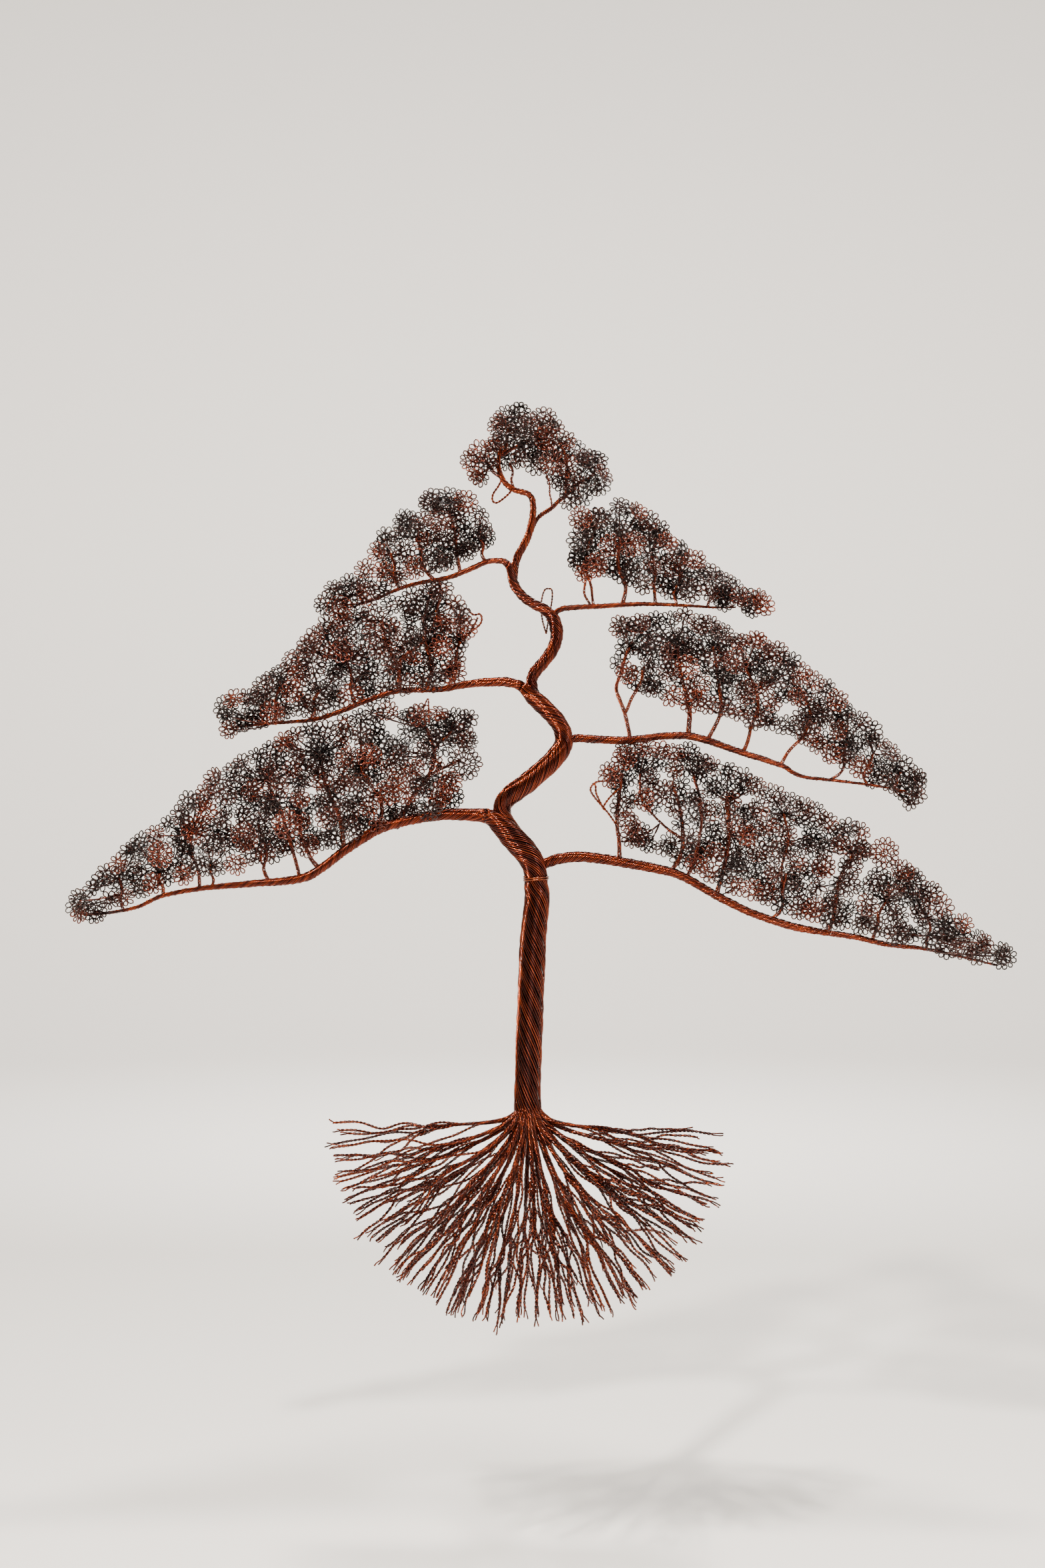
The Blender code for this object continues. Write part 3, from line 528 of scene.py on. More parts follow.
# twigs: each is a small rope from its branch up into the foliage
TWIGS = {
    "left_lower_branch": [
        [(245, 1341, 6), (241, 1326, 5), (239, 1310, 5)],
        [(318, 1331, 5), (318, 1314, 4.5), (317, 1296, 4.5)],
        [(404, 1324, 6), (400, 1310, 5.5), (397, 1298, 5), (398, 1266, 5)],
        [(397, 1300, 4), (391, 1286, 4), (386, 1274, 4)],
        [(480, 1303, 7), (470, 1294, 6.5), (462, 1284, 6), (455, 1260, 5.5), (450, 1220, 5)],
        [(562, 1248, 7), (570, 1222, 6), (566, 1190, 5.5), (540, 1150, 5)],
        [(600, 1234, 7), (618, 1200, 6), (640, 1168, 5.5), (650, 1130, 5), (640, 1092, 4.5)],
        [(640, 1168, 5), (668, 1150, 4.5), (690, 1140, 4)],
        [(650, 1130, 4.5), (666, 1108, 4), (680, 1090, 4)],
        [(664, 1222, 6), (664, 1204, 5), (660, 1188, 4.5)],
        [(450, 1318, 6), (440, 1270, 5.5), (420, 1220, 5), (400, 1170, 4.5)],
        [(300, 1333, 5.5), (292, 1290, 5), (285, 1250, 4.5)],
        [(185, 1366, 5), (182, 1340, 4.5), (178, 1316, 4)],
        [(517, 1276, 7), (508, 1230, 6), (492, 1180, 5.5), (480, 1130, 5)],
    ],
    "left_middle_branch": [
        [(468, 1079, 6), (469, 1066, 5.5), (472, 1054, 5), (479, 1036, 5)],
        [(533, 1058, 6), (531, 1044, 5), (528, 1030, 5), (520, 990, 4.5)],
        [(600, 1037, 7), (594, 1000, 6), (580, 960, 5.5), (572, 930, 5)],
        [(640, 1035, 7), (646, 1000, 6), (640, 960, 5.5), (636, 925, 5)],
        [(672, 1032, 6), (684, 1000, 5), (690, 960, 4.5)],
        [(594, 1000, 5), (618, 975, 4.5), (640, 960, 4)],
        [(410, 1085, 5), (414, 1060, 4.5), (420, 1030, 4)],
    ],
    "left_upper_branch": [
        [(728, 843, 6), (725, 830, 5), (721, 808, 4.5)],
        [(651, 870, 6), (642, 858, 5), (632, 838, 5), (625, 805, 4.5)],
        [(658, 869, 5.5), (659, 890, 5), (658, 912, 4.8), (658, 938, 4.5)],
        [(690, 860, 6), (688, 830, 5.5), (680, 800, 5), (676, 770, 4.5)],
        [(600, 883, 5.5), (592, 858, 5), (586, 830, 4.5)],
        [(545, 904, 5), (540, 888, 4.5), (535, 872, 4)],
    ],
    "right_lower_branch": [
        [(929, 1292, 7), (931, 1262, 6), (928, 1239, 6), (925, 1218, 6), (926, 1198, 5), (934, 1160, 5)],
        [(1006, 1311, 7), (1012, 1298, 6), (1018, 1287, 6), (1023, 1258, 6), (1024, 1220, 5), (1010, 1180, 5)],
        [(1155, 1381, 6), (1168, 1367, 5), (1175, 1345, 5), (1180, 1310, 4.5)],
        [(1176, 1330, 4), (1174, 1312, 4), (1181, 1262, 4), (1176, 1220, 4)],
        [(1239, 1399, 6), (1247, 1384, 6), (1251, 1358, 5.5), (1262, 1320, 5), (1280, 1280, 4.5)],
        [(1309, 1413, 6), (1312, 1394, 5), (1330, 1350, 4.5)],
        [(1075, 1344, 7), (1084, 1300, 6), (1096, 1250, 5.5), (1090, 1200, 5)],
        [(1030, 1318, 6), (1050, 1270, 5), (1050, 1210, 4.5), (1040, 1160, 4.5)],
        [(1390, 1424, 5), (1394, 1402, 4.5), (1392, 1376, 4)],
        [(1023, 1258, 5), (990, 1235, 4), (966, 1200, 4), (960, 1160, 4)],
    ],
    "right_middle_branch": [
        [(945, 1109, 6.5), (944, 1096, 6), (942, 1082, 6), (939, 1066, 6), (932, 1051, 5.8), (925, 1037, 5.5), (924, 1025, 5), (931, 1003, 5), (944, 970, 4.5)],
        [(939, 1068, 5), (947, 1054, 5), (955, 1036, 5), (966, 1000, 4.5)],
        [(1033, 1104, 7), (1033, 1084, 7), (1031, 1056, 6), (1024, 1010, 5.5), (1016, 970, 5)],
        [(1114, 1129, 6), (1124, 1110, 5.5), (1130, 1088, 5), (1137, 1066, 5), (1130, 1030, 4.5), (1118, 1000, 4.5)],
        [(1170, 1149, 6), (1180, 1134, 5), (1190, 1122, 5), (1206, 1104, 5), (1214, 1070, 4.5), (1204, 1040, 4.5)],
        [(1246, 1170, 5), (1258, 1160, 4.5), (1266, 1144, 4.5), (1272, 1110, 4)],
        [(1301, 1177, 4.5), (1298, 1160, 4), (1310, 1130, 4)],
        [(1062, 1110, 6), (1078, 1070, 5.5), (1080, 1020, 5), (1070, 970, 4.5)],
        [(1340, 1183, 4.5), (1346, 1170, 4), (1352, 1158, 4)],
    ],
    "right_upper_branch": [
        [(891, 910, 5), (888, 897, 4.4), (885, 883, 4.4), (880, 850, 4.4), (884, 810, 4)],
        [(886, 908, 4), (880, 893, 4), (877, 878, 4), (873, 850, 4)],
        [(934, 908, 7), (936, 893, 6), (936, 878, 6), (930, 852, 5.5), (930, 810, 5)],
        [(983, 907, 6), (984, 893, 5), (984, 882, 5), (981, 860, 5), (976, 826, 4.5)],
        [(1015, 908, 5), (1015, 898, 4.5), (1013, 884, 4), (1020, 860, 4)],
        [(1062, 911, 5), (1068, 898, 4), (1074, 886, 4)],
    ],
    "crown_left_branch": [
        [(771, 734, 4), (770, 722, 4), (768, 712, 4), (764, 694, 4)],
        [(752, 716, 6), (734, 700, 5), (722, 688, 4)],
        [(750, 684, 6), (762, 655, 5), (764, 634, 4)],
        [(750, 684, 6), (780, 668, 5), (806, 650, 4)],
    ],
    "crown_right_branch": [
        [(827, 763, 5), (829, 750, 4), (826, 737, 3.8), (820, 718, 3.8), (818, 703, 3.8)],
        [(818, 704, 4), (812, 706, 3.6), (804, 700, 3.4), (801, 692, 3.2), (806, 680, 3)],
        [(857, 736, 6), (874, 722, 5), (892, 710, 4)],
        [(850, 742, 6), (852, 716, 5), (848, 690, 4.5), (838, 660, 4)],
    ],
}
skeleton = {}
for name, twigs in TWIGS.items():
    points = [np.array([[s[0], s[1]] for s in twig], float) for twig in twigs]
    skeleton[name] = points
    deep = {"right_upper_branch": -0.022}.get(name, -0.024)
    base = {"left_lower_branch": LOWER, "left_middle_branch": SECOND, "left_upper_branch": THIRD,
            "crown_left_branch": FOURTH}.get(name) or RIGHT[name]
    for twig in twigs:
        begin = min(base, key=lambda s: math.dist(s[:2], twig[0][:2]))
        first = begin[3] if math.dist(begin[:2], twig[0][:2]) < 30 else deep
        path = [
            (u, v, w * 1.25, first + (deep - first) * i / (len(twig) - 1))
            for i, (u, v, w) in enumerate(twig)
        ]
        line, radius = route(path, 0.001)
        t = lengths(line) / lengths(line)[-1]
        line[:, 0] += rng.choice([-1.0, 1.0]) * 0.0022 * np.sin(2 * math.pi * t) * np.sin(math.pi * t)
        if twig[-1][2] <= 3.8:
            twisted(limbs[name], line, 0.00115, 0.0075, 0.0012, sides=5)
        else:
            bundle(limbs[name], line, radius, 38.0, step=0.0026, wire=0.00118, sides=3, core=0,
                   relief=0.5, group=(2, 3))

# twisted pairs that curl out of the twigs as open loops
PAIRS = {
    "crown_left_branch": [
        [(770, 733), (760, 744), (746, 754), (739, 751), (740, 741), (748, 729), (753, 719)],
    ],
    "right_lower_branch": [
        [(924, 1236), (915, 1223), (907, 1213), (893, 1197), (886, 1185), (890, 1176), (899, 1172), (909, 1171), (922, 1160)],
        [(889, 1176), (893.5, 1178), (894, 1188), (898, 1198), (904, 1210), (908, 1216)],
        [(904, 1213), (909, 1204), (917, 1194), (930, 1182)],
    ],
    "left_upper_branch": [
        [(690, 966), (702, 952), (711, 939), (717, 926)],
        [(692, 958), (706, 948), (719, 938), (723, 929), (720, 921), (710, 922), (700, 912)],
    ],
    "left_lower_branch": [
        [(626, 1088), (634, 1066), (642, 1048), (643, 1062), (644, 1086)],
    ],
}
for name, paths in PAIRS.items():
    for path in paths:
        wire = 0.0013 if len(path) != 5 else 0.0010
        line, _ = route([(u, v, 3, -0.026) for u, v in path], 0.001)
        twisted(limbs[name], line, wire, 0.0066, 0.0011, sides=5)

for name, piece in limbs.items():
    piece.build(BUNDLE, "copper_bundle", name)


# ------------------------------------------------------------------ rosettes
def rosette_line(size, loop):
    """One wire wound in loops along a spiral: (x, y, z), z out of the rosette."""
    centres = []
    ring = size - loop * 1.22
    turn = rng.uniform(0, 2 * math.pi)
    pitch = 1.80
    while ring > loop * 0.75:
        count = max(3, int(round(2 * math.pi * ring / (pitch * loop))))
        for _ in range(count):
            centres.append((ring * (1 + rng.uniform(-0.05, 0.05)), turn))
            turn += 2 * math.pi / count
        ring -= loop * rng.uniform(1.70, 2.0)
        pitch = 2.0
    if ring > -loop * 0.35 or len(centres) < 9:
        centres.append((loop * 0.30, turn + 0.8))
        if ring > loop * 0.2:
            centres.append((loop * 0.55, turn + 3.4))
    centres = np.array(centres)
    n = len(centres)
    steps = 8
    f = np.arange(n * steps + 1) / steps
    moved = f - 0.5 - 0.92 / (2 * math.pi) * np.sin(2 * math.pi * (f - 0.5))
    index = np.clip(moved, 0, n - 1)
    steps_at = np.arange(n)
    around = np.interp(index, steps_at, centres[:, 1])
    out = np.interp(index, steps_at, centres[:, 0])
    grow = np.interp(index, steps_at, rng.uniform(0.86, 1.12, n))
    long = np.interp(index, steps_at, rng.uniform(1.05, 1.38, n))
    phi = 2 * math.pi * f
    ex = np.stack([np.cos(around), np.sin(around)], axis=1)
    ey = np.stack([-ex[:, 1], ex[:, 0]], axis=1)
    flat = (
        ex * (out + loop * grow * long * -np.cos(phi))[:, None]
        + ey * (loop * grow * 0.96 * np.sin(phi))[:, None]
    )
    z = 0.5 * LEAF_WIRE * np.sin(phi + 0.6) + 0.55 * loop * np.interp(
        index, steps_at, rng.uniform(-0.5, 0.5, n)
    )
    return np.column_stack([flat, z])


def place_rosette(out, u, v, y, size, normal, cup, tone_and_shade, loop=None):
    """A rosette of grid radius `size` centred at (u, v, y), facing along `normal`."""
    real = size * UNIT
    loop = (loop or rng.uniform(4.1, 4.8)) * UNIT
    local = rosette_line(real, loop)
    reach = np.linalg.norm(local[:, :2], axis=1) / real
    local[:, 2] += cup * real * (reach**2 - 0.35)
    local[:, :2] *= (1 - 0.25 * abs(cup) * reach**2)[:, None]
    bend = rng.uniform(-0.22, 0.22)
    bend_at = rng.uniform(0, math.pi)
    across = (local[:, 0] * math.cos(bend_at) + local[:, 1] * math.sin(bend_at)) / real
    local[:, 2] += bend * real * across**2
    normal = unit(np.asarray(normal, float))
    ex = unit(np.cross([0.0, 0.0, 1.0], normal))
    ey = np.cross(normal, ex)
    spin = rng.uniform(0, 2 * math.pi)
    ax = ex * math.cos(spin) + ey * math.sin(spin)
    ay = -ex * math.sin(spin) + ey * math.cos(spin)
    middle = at(u, v, y)
    line = (
        middle
        + local[:, :1] * ax
        + local[:, 1:2] * ay
        + local[:, 2:] * normal
    )
    line[:, 1] -= max(0.0, float(line[:, 1].max()) + 0.0012)
    line[:, 1] += max(0.0, -0.0600 - float(line[:, 1].min()))
    up = np.broadcast_to(normal, line.shape)
    out.sweep(line, up, LEAF_WIRE / 2 * 1.52, 3, tone_and_shade=tone_and_shade)
    return line.mean(axis=0)


PADS = {
    "left_lower": [
        (103, 1385), (110, 1342), (138, 1316), (189, 1272), (232, 1238),
        (289, 1190), (338, 1146), (400, 1116), (463, 1086), (520, 1074),
        (565, 1062), (612, 1060), (655, 1066), (703, 1064), (708, 1092),
        (722, 1145), (700, 1180), (672, 1218), (620, 1226), (575, 1240),
        (533, 1256), (495, 1270), (430, 1282), (365, 1300), (295, 1314),
        (250, 1328), (205, 1346), (160, 1360), (134, 1388),
    ],
    "left_middle": [
        (322, 1078), (330, 1056), (381, 1032), (412, 1000), (442, 982),
        (468, 948), (503, 928), (545, 914), (590, 900), (630, 886),
        (668, 880), (696, 910), (703, 940), (696, 985), (690, 1012),
        (640, 1030), (600, 1036), (560, 1044), (520, 1056), (470, 1066),
        (420, 1074), (390, 1090), (345, 1098),
    ],
    "left_upper": [
        (476, 914), (482, 888), (508, 868), (534, 852), (562, 812),
        (590, 785), (625, 764), (652, 738), (692, 734), (714, 764),
        (738, 786), (740, 812), (716, 826), (690, 838), (650, 852),
        (605, 872), (566, 888), (530, 906), (500, 920),
    ],
    "right_lower": [
        (908, 1156), (936, 1116), (985, 1112), (1035, 1120), (1088, 1143),
        (1146, 1177), (1207, 1192), (1241, 1222), (1291, 1234),
        (1350, 1276), (1396, 1326), (1434, 1362), (1482, 1402),
        (1527, 1430), (1518, 1452), (1470, 1446), (1423, 1432),
        (1361, 1414), (1297, 1398), (1222, 1384), (1170, 1366),
        (1129, 1348), (1080, 1328), (1040, 1308), (1006, 1285),
        (962, 1270), (934, 1258), (926, 1210),
    ],
    "right_middle": [
        (924, 992), (935, 952), (930, 926), (975, 920), (1030, 922),
        (1066, 927), (1104, 948), (1149, 961), (1191, 988), (1227, 1017),
        (1262, 1044), (1302, 1084), (1333, 1113), (1370, 1149),
        (1389, 1172), (1384, 1206), (1364, 1210), (1330, 1180),
        (1280, 1160), (1245, 1135), (1205, 1108), (1165, 1096),
        (1105, 1080), (1066, 1066), (1015, 1050), (971, 1042), (938, 1025),
    ],
    "right_upper": [
        (862, 835), (866, 800), (870, 768), (905, 766), (925, 754),
        (956, 760), (992, 793), (1030, 826), (1072, 852), (1103, 880),
        (1143, 894), (1147, 916), (1126, 931), (1100, 915), (1060, 898),
        (1010, 890), (956, 878), (912, 863), (870, 862),
    ],
    "crown": [
        (698, 712), (700, 690), (714, 664), (740, 652), (743, 624),
        (764, 603), (798, 612), (836, 624), (856, 652), (878, 671),
        (906, 690), (921, 712), (908, 738), (884, 752), (858, 768),
        (838, 746), (822, 712), (800, 700), (772, 703), (748, 690),
        (738, 716), (715, 732),
    ],
}
# rosettes that stand out: (u, v, radius, tilt sideways, tilt up, cup)
NAMED = {
    "left_lower": [
        (138, 1333, 16, -0.4, 0.4, 0.2), (119, 1371, 15, -0.5, 0.1, 0.2),
        (697, 1145, 26, 0.05, 0.0, 0.05), (684, 1084, 24, 0.3, 0.35, 0.55), (659, 1191, 21, 0.2, -0.2, 0.2),
    ],
    "left_middle": [(339, 1073, 15, -0.5, 0.1, 0.2)],
    "left_upper": [
        (489, 906, 19, -0.2, 0.1, 0.1), (523, 875, 16, -0.3, 0.4, 0.2), (548, 854, 18, -0.3, 0.4, 0.3),
        (566, 828, 17, -0.4, 0.3, 0.3), (600, 802, 17, -0.3, 0.4, 0.2), (631, 781, 16, -0.3, 0.4, 0.2),
        (674, 748, 24, 0.0, 1.1, 0.2), (689, 772, 17, 0.2, 0.3, 0.2), (724, 795, 17, 0.5, 0.2, 0.3),
    ],
    "crown": [
        (762, 625, 20, -0.3, 0.5, 0.45), (796, 632, 17, 0.0, 0.7, 0.3), (834, 641, 16, 0.3, 0.6, 0.3),
        (721, 678, 20, -0.4, 0.2, 0.3), (714, 712, 15, -0.3, -0.3, 0.3), (875, 690, 17, 0.3, 0.5, 0.3),
        (906, 711, 18, 1.0, 0.9, 0.1), (887, 728, 17, 0.2, -0.1, 0.2), (855, 748, 19, 0.1, -0.4, 0.3),
        (779, 689, 15, 0.0, -0.3, 0.3), (722, 716, 16, -0.5, -0.2, 0.3), (742, 666, 17, -0.2, 0.5, 0.3),
        (735, 697, 15, -0.1, 0.3, 0.4),
    ],
    "right_upper": [(1126, 911, 19, 0.4, 0.1, 0.3)],
    "right_middle": [(1378, 1192, 15, 0.5, 0.0, 0.2), (1366, 1203, 14, 0.2, -0.4, 0.2)],
    "right_lower": [
        (1207, 1211, 17, 0.2, 0.3, 0.2), (1241, 1234, 18, 0.2, 0.3, 0.3), (1291, 1247, 17, 0.3, 0.3, 0.2),
        (1327, 1280, 23.5, 0.05, 0.1, 0.05), (1366, 1325, 28, 0.2, 0.3, 0.3), (1275, 1300, 20, 0.1, 0.0, 0.2),
        (1236, 1300, 19, -0.1, 0.1, 0.2), (1412, 1362, 20, 0.3, 0.3, 0.2), (1446, 1385, 17, 0.3, 0.3, 0.2),
        (1503, 1432, 17, 0.5, 0.0, 0.2), (1478, 1414, 15, 0.3, 0.3, 0.3),
    ],
}
# spacing of the front and back layers of each pad
LAYERS = {
    "left_lower": (23.5, 29), "left_middle": (24, 29), "left_upper": (24.5, 34), "right_lower": (26, 36),
    "right_middle": (25, 32), "right_upper": (25.5, 33), "crown": (20.5, 28),
}
# how far the rosettes reach past each outline
GROW = {
    "left_lower": 5, "left_middle": 8, "left_upper": 8, "right_lower": 4,
    "right_middle": 6, "right_upper": 7, "crown": 5,
}
HOLES = {"right_lower": [(993, 1231, 16)], "left_lower": [(590, 1095, 13)]}


def inside(u, v, outline):
    hit = False
    for (ua, va), (ub, vb) in zip(outline, outline[1:] + outline[:1]):
        if (va > v) != (vb > v) and u < (ub - ua) * (v - va) / (vb - va) + ua:
            hit = not hit
    return hit


def grown(outline, by):
    """The outline moved outwards."""
    p = np.array(outline, float)
    before, after = np.roll(p, 1, axis=0), np.roll(p, -1, axis=0)
    area = float(np.sum(p[:, 0] * after[:, 1] - p[:, 1] * after[:, 0]))
    way = unit(unit(p - before) + unit(after - p))
    out = np.stack([way[:, 1], -way[:, 0]], axis=1) * math.copysign(1.0, area)
    return [tuple(q) for q in (p + out * by).tolist()]


def nearest_edge(u, v, outline):
    best, away = 1e9, (0.0, 0.0)
    p = np.array([u, v], float)
    for a, b in zip(outline, outline[1:] + outline[:1]):
        a, b = np.array(a, float), np.array(b, float)
        t = np.clip((p - a) @ (b - a) / ((b - a) @ (b - a)), 0, 1)
        q = a + (b - a) * t
        d = float(np.linalg.norm(p - q))
        if d < best:
            best, away = d, tuple((q - p) / max(d, 1e-6))
    return best, away


def clear(u, v, gap, found, holes=()):
    return all((u - a) ** 2 + (v - b) ** 2 > gap**2 for a, b, *_ in found) and all(
        (u - a) ** 2 + (v - b) ** 2 > (r + 10) ** 2 for a, b, r in holes
    )


def scatter(outline, spacing, margin, taken, holes, tries=2500):
    """Points inside the outline, at least `spacing` apart and `margin` from its edge."""
    us = [p[0] for p in outline]
    vs = [p[1] for p in outline]
    found = list(taken)
    fresh = []
    for _ in range(tries):
        u, v = rng.uniform(min(us), max(us)), rng.uniform(min(vs), max(vs))
        if clear(u, v, spacing, found, holes) and inside(u, v, outline):
            if nearest_edge(u, v, outline)[0] > margin:
                found.append((u, v))
                fresh.append((u, v))
    return fresh


def edge_points(outline, taken, holes):
    """Rosettes along the outline, at uneven distances from it and from each other."""
    found = []
    wait = 0.0
    for a, b in zip(outline, outline[1:] + outline[:1]):
        a, b = np.array(a, float), np.array(b, float)
        length = np.linalg.norm(b - a)
        s = wait
        while s < length:
            q = a + (b - a) * s / length
            size = rng.uniform(15, 21)
            inset = size * rng.uniform(0.55, 1.15)
            for sign in (1, -1):
                normal = np.array([-(b - a)[1], (b - a)[0]]) / length * sign
                p = q + normal * inset
                if inside(p[0], p[1], outline):
                    if clear(p[0], p[1], 17, taken, holes):
                        found.append((float(p[0]), float(p[1]), size))
                    break
            s += size * rng.uniform(1.15, 1.6)
        wait = s - length
    return found


def stem(out, tip, name):
    """A twisted pair from the nearest twig to the back of a rosette."""
    best = None
    for path in skeleton[name]:
        flat = at(path[:, 0], path[:, 1], -0.022)
        for i in range(len(flat)):
            d = np.linalg.norm(flat[i] - tip)
            if best is None or d < best[0]:
                best = (d, flat[i])
    root = best[1]
    mid = (root + tip) / 2 + np.array([0, 0.004, -0.004])
    t = np.linspace(0, 1, 7)[:, None]
    line = (1 - t) ** 2 * root + 2 * t * (1 - t) * mid + t**2 * tip
    if best[0] > 0.004:
        along, one, two = frames(line)
        for k in (0, 1):
            theta = HAND * np.linspace(0, 7, len(line)) + math.pi * k
            side = np.cos(theta)[:, None] * one + np.sin(theta)[:, None] * two
            out.sweep(line + side * 0.00052, side, 0.00058, 3, tone_and_shade=rng.uniform(0.2, 0.7))


HOME = {
    "left_lower": "left_lower_branch", "left_middle": "left_middle_branch",
    "left_upper": "left_upper_branch", "right_lower": "right_lower_branch",
    "right_middle": "right_middle_branch", "right_upper": "right_upper_branch",
}
total = 0
for name, outline in PADS.items():
    piece = Wires(name + "_rosettes")
    outline = grown(outline, GROW[name])
    holes = HOLES.get(name, [])
    named = NAMED.get(name, [])
    solid = [(u, v, r) for u, v, r, tx, tz, cup in named if abs(tx) + abs(tz) < 0.2]
    edge = edge_points(outline, named, holes + [(u, v, r + 2) for u, v, r in solid])
    front_gap, back_gap = LAYERS[name]
    keep_off = holes + [(u, v, r - 3) for u, v, r in solid]
    front = scatter(outline, front_gap, 17.0, [(a, b) for a, b, *_ in edge + named], keep_off)
    back = scatter(outline, back_gap, 16.0, [], keep_off)
    placed = [(p[0], p[1]) for p in edge + named + front + back]
    back += scatter(outline, 16.0, 13.0, placed, keep_off)
    jobs = []
    for u, v, r, tx, tz, cup in named:
        jobs.append((u, v, rng.uniform(-0.038, -0.028), r, (tx, -1.0, tz), cup))
    for u, v, size in edge:
        _, away = nearest_edge(u, v, outline)
        lean_out = rng.uniform(0.0, 0.75)
        jobs.append(
            (u, v, -0.028 + rng.uniform(-0.016, 0.010), size,
             (away[0] * lean_out + rng.uniform(-0.25, 0.25), -1.0, -away[1] * lean_out + rng.uniform(-0.25, 0.25)),
             rng.uniform(-0.1, 0.45))
        )
    for u, v in front:
        tilt, way = rng.uniform(0.0, 0.75), rng.uniform(0, 2 * math.pi)
        jobs.append(
            (u, v, -0.042 + rng.uniform(-0.009, 0.010), float(np.clip(rng.normal(18.5, 2.4), 14, 25)),
             (math.cos(way) * tilt, -1.0, math.sin(way) * tilt), rng.uniform(-0.15, 0.5))
        )
    for u, v in back:
        tilt, way = rng.uniform(0.0, 0.6), rng.uniform(0, 2 * math.pi)
        jobs.append(
            (u, v, -0.015 + rng.uniform(-0.008, 0.006), float(np.clip(rng.normal(18.5, 2.4), 14, 24)),
             (math.cos(way) * tilt, -1.0 if rng.random() < 0.6 else 1.0, math.sin(way) * tilt),
             rng.uniform(-0.1, 0.4))
        )
    for u, v, y, size, normal, cup in jobs:
        # Rosettes further back, towards the wall, are made darker: painted shade of the back layer behind the front
        # rosettes.
        shade = np.interp(y, [-0.030, -0.020], [1.0, 0.35])
        tip = place_rosette(piece, u, v, y, size, normal, cup, tone_and_shade=rng.uniform(0.1, 0.95) * shade)
        home = HOME.get(name) or ("crown_left_branch" if u < 830 else "crown_right_branch")
        stem(piece, tip, home)
    total += len(jobs)
    print(name, len(jobs), "rosettes")
    piece.build(LEAF, "copper_foliage", name + "_foliage")
print("rosettes", total)

# ------------------------------------------------------------------ roots
roots = {-1: Wires("root_wires_left"), 1: Wires("root_wires_right")}
flare = at(795, 1699, -0.0235)
ROPES = 26


def aim_at(fan, forward):
    return np.array(
        [math.sin(fan) * math.cos(forward), -math.sin(forward), -math.cos(fan) * math.cos(forward)]
    )


def bend(p0, p1, p2, p3, n=40):
    t = np.linspace(0, 1, n)[:, None]
    return (1 - t) ** 3 * p0 + 3 * t * (1 - t) ** 2 * p1 + 3 * t * t * (1 - t) * p2 + t**3 * p3


for g in range(ROPES):
    share = (g + 0.5) / ROPES
    fan = math.radians(-90 + 180 * share + rng.uniform(-2.5, 2.5))
    edge = min(abs(fan) / (math.pi / 2), 1.0)
    depth = (0.10, 0.85, 0.45, 1.0, 0.25, 0.65)[g % 6]
    forward = math.radians(36) * depth * (1 - 0.75 * edge**2)
    way = aim_at(fan, forward)
    ring_dir = np.array([math.sin(fan), -math.cos(fan) * (2.2 * depth - 0.6), 0.0])
    ring_dir = ring_dir / max(1.0, float(np.linalg.norm(ring_dir)))
    p0 = at(793, 1650, -0.0207) + ring_dir * 0.0060
    p1 = flare + ring_dir * 0.0126 + np.array([0, 0, 0.007 - 0.006 * (1 - edge)])
    p3 = flare + way * (0.085 + 0.02 * rng.random())
    p3[2] += 0.009 * edge**3
    p2 = p3 - aim_at(fan * 0.97, forward) * (0.052 + 0.010 * edge)
    rope_line = bend(p0, p1, p2, p3)
    rope_len = lengths(rope_line)[-1]
    taper = np.interp(np.linspace(0, 1, len(rope_line)), [0, 0.25, 1], [4.8, 4.8, 2.6]) * UNIT
    side_of = -1 if fan < 0 else 1
    bundle(roots[side_of], rope_line, taper, 36.0, step=0.0030, wire=ROOT_WIRE, sides=4, core=5,
           relief=0.4, group=(2, 3))
    rope_s = lengths(rope_line) / rope_len
    pairs = 8
    for p in range(pairs):
        begin = float(np.interp(p, [0, pairs - 1], [0.30, 0.97])) + rng.uniform(-0.04, 0.03)
        i = min(int(np.searchsorted(rope_s, begin)), len(rope_line) - 3)
        start = rope_line[i]
        going = unit(rope_line[i + 2] - rope_line[i])
        swing = (p / (pairs - 1) * 2 - 1) * (1 if (p + g) % 2 else -1)
        own_fan = fan + math.radians(9.0) * swing + math.radians(rng.uniform(-5, 5))
        own_fan = float(np.clip(own_fan, math.radians(-94), math.radians(94)))
        own_forward = float(np.clip(forward + math.radians(rng.uniform(-13, 13)), math.radians(-4), math.radians(37)))
        own = aim_at(own_fan, own_forward)
        reach = 0.192 * (1 + 0.05 * edge) * (rng.uniform(0.93, 1.0) if rng.random() < 0.6 else rng.uniform(0.68, 0.95))
        tip = flare + own * reach
        tip[2] += 0.002 * edge**3
        gap = np.linalg.norm(tip - start)
        path = bend(start, start + going * gap * 0.35, tip - unit(own + 0.25 * going + np.array([0, 0, -0.10 * (1 - edge)])) * gap * 0.35, tip, 60)
        t = np.linspace(0, 1, len(path))
        side = unit(np.cross(own, [0, 1.0, 0]))
        over = np.cross(side, own)
        swell = np.sin(math.pi * t) ** 0.7
        for direction, most in ((side, 0.0034), (over, 0.0026)):
            wave = rng.uniform(0.4, 1) * most * np.sin(t * rng.uniform(6, 13) + rng.uniform(0, 6.28))
            wave += rng.uniform(0.3, 1) * 0.0013 * np.sin(t * rng.uniform(16, 28) + rng.uniform(0, 6.28))
            path = path + direction * (wave * swell)[:, None]
        which = -1 if own_fan < 0 else 1
        twisted(
            roots[which], path, ROOT_WIRE * 1.30, rng.uniform(0.0082, 0.0096), 0.0019, count=2, sides=3,
            spread=(rng.uniform(0.004, 0.012), rng.uniform(0.0004, 0.0026)), start=rng.uniform(0, 6.28),
        )
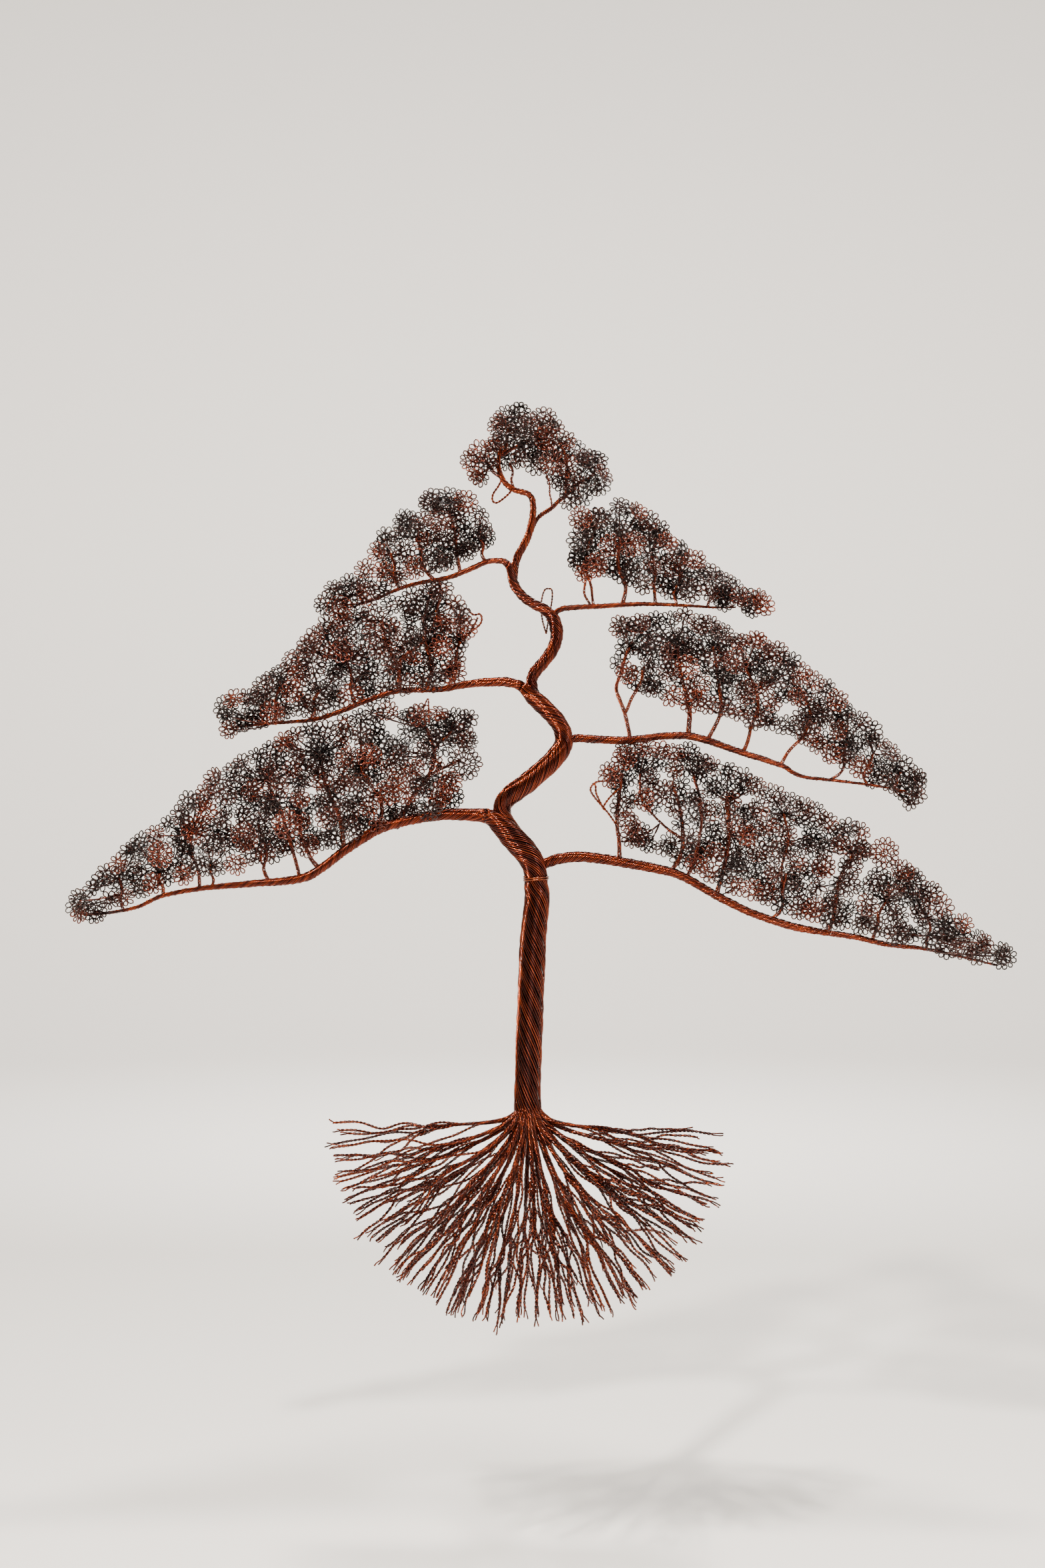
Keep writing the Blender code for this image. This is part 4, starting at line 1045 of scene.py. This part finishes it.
for which, piece in roots.items():
    piece.build(ROOT, "copper_roots", *(["roots"] if which == -1 else []))
print("all wires:", Wires.everything)


# ------------------------------------------------------------------ studio
def plain(name, colour, rough):
    made = bpy.data.materials.new(name)
    made.use_nodes = True
    shader = made.node_tree.nodes["Principled BSDF"]
    noise = made.node_tree.nodes.new("ShaderNodeTexNoise")
    noise.inputs["Scale"].default_value = 1.5
    ramp = made.node_tree.nodes.new("ShaderNodeValToRGB")
    ramp.color_ramp.elements[0].color = (*[c * 0.98 for c in colour], 1)
    ramp.color_ramp.elements[1].color = (*colour, 1)
    made.node_tree.links.new(noise.outputs["Fac"], ramp.inputs["Fac"])
    made.node_tree.links.new(ramp.outputs["Color"], shader.inputs["Base Color"])
    shader.inputs["Roughness"].default_value = rough
    return made


FLOOR_Z = -0.98
profile = [(0.0, FLOOR_Z)]
profile += [(r, FLOOR_Z) for r in (1.5, 3.0, 4.2)]
profile += [
    (4.2 + 1.6 * math.sin(a), FLOOR_Z + 1.6 * (1 - math.cos(a)))
    for a in np.linspace(0.15, math.pi / 2, 12)
]
profile += [(5.8, 3.2)]
sides = 72
verts = [(0.0, 0.0, FLOOR_Z)]
for r, z in profile[1:]:
    for k in range(sides):
        a = 2 * math.pi * k / sides
        verts.append((r * math.cos(a), r * math.sin(a), z))
faces = [(0, 1 + k, 1 + (k + 1) % sides) for k in range(sides)]
for i in range(len(profile) - 2):
    a, b = 1 + i * sides, 1 + (i + 1) * sides
    faces += [
        (a + k, b + k, b + (k + 1) % sides, a + (k + 1) % sides) for k in range(sides)
    ]
mesh = bpy.data.meshes.new("studio_floor")
mesh.from_pydata(verts, [], faces)
mesh.update()
mesh.shade_smooth()
floor = bpy.data.objects.new("studio_floor", mesh)
bpy.context.scene.collection.objects.link(floor)
floor.data.materials.append(plain("pale_floor", (0.86, 0.83, 0.79), 0.85))

world = bpy.data.worlds.new("soft_studio")
bpy.context.scene.world = world
world.use_nodes = True
world.node_tree.nodes["Background"].inputs[0].default_value = (1.0, 0.98, 0.95, 1)
world.node_tree.nodes["Background"].inputs[1].default_value = 0.42


def lamp(name, where, target, size, power, colour=(1, 1, 1)):
    data = bpy.data.lights.new(name, "AREA")
    data.shape = "DISK"
    data.size = size
    data.energy = power
    data.color = colour
    made = bpy.data.objects.new(name, data)
    made.location = where
    made.rotation_euler = (Vector(target) - Vector(where)).to_track_quat("-Z", "Y").to_euler()
    bpy.context.scene.collection.objects.link(made)
    return made


lamp("key", (-0.9, -2.0, 1.7), (0, 0, -0.2), 0.16, 190, (1.0, 0.93, 0.84))
lamp("fill", (2.0, -1.8, 0.3), (0, 0, -0.3), 0.8, 40, (1.0, 0.96, 0.92))
lamp("top", (0.15, -0.75, 1.9), (0, 0, -0.2), 0.3, 90, (1.0, 0.94, 0.86))
lamp("back", (0.4, 2.4, 1.6), (0, 0, -0.2), 1.2, 60, (1.0, 0.98, 0.95))
lamp("wall", (0.0, 2.0, 1.2), (0, 5.5, 0.4), 1.6, 160, (1.0, 0.97, 0.94))

camera = bpy.data.cameras.new("camera")
eye = bpy.data.objects.new("camera", camera)
k0 = (EYE_DISTANCE - BRANCH_PLANE) / EYE_DISTANCE
eye.location = (
    -(HANG[0] - EYE[0]) * k0 * UNIT,
    BRANCH_PLANE - EYE_DISTANCE,
    -(EYE[1] - HANG[1]) * k0 * UNIT,
)
eye.rotation_euler = (math.pi / 2, 0, 0)
camera.sensor_fit = "VERTICAL"
camera.sensor_height = 24.0
camera.lens = 24.0 * EYE_DISTANCE / (2352 * UNIT)
bpy.context.scene.collection.objects.link(eye)
bpy.context.scene.camera = eye
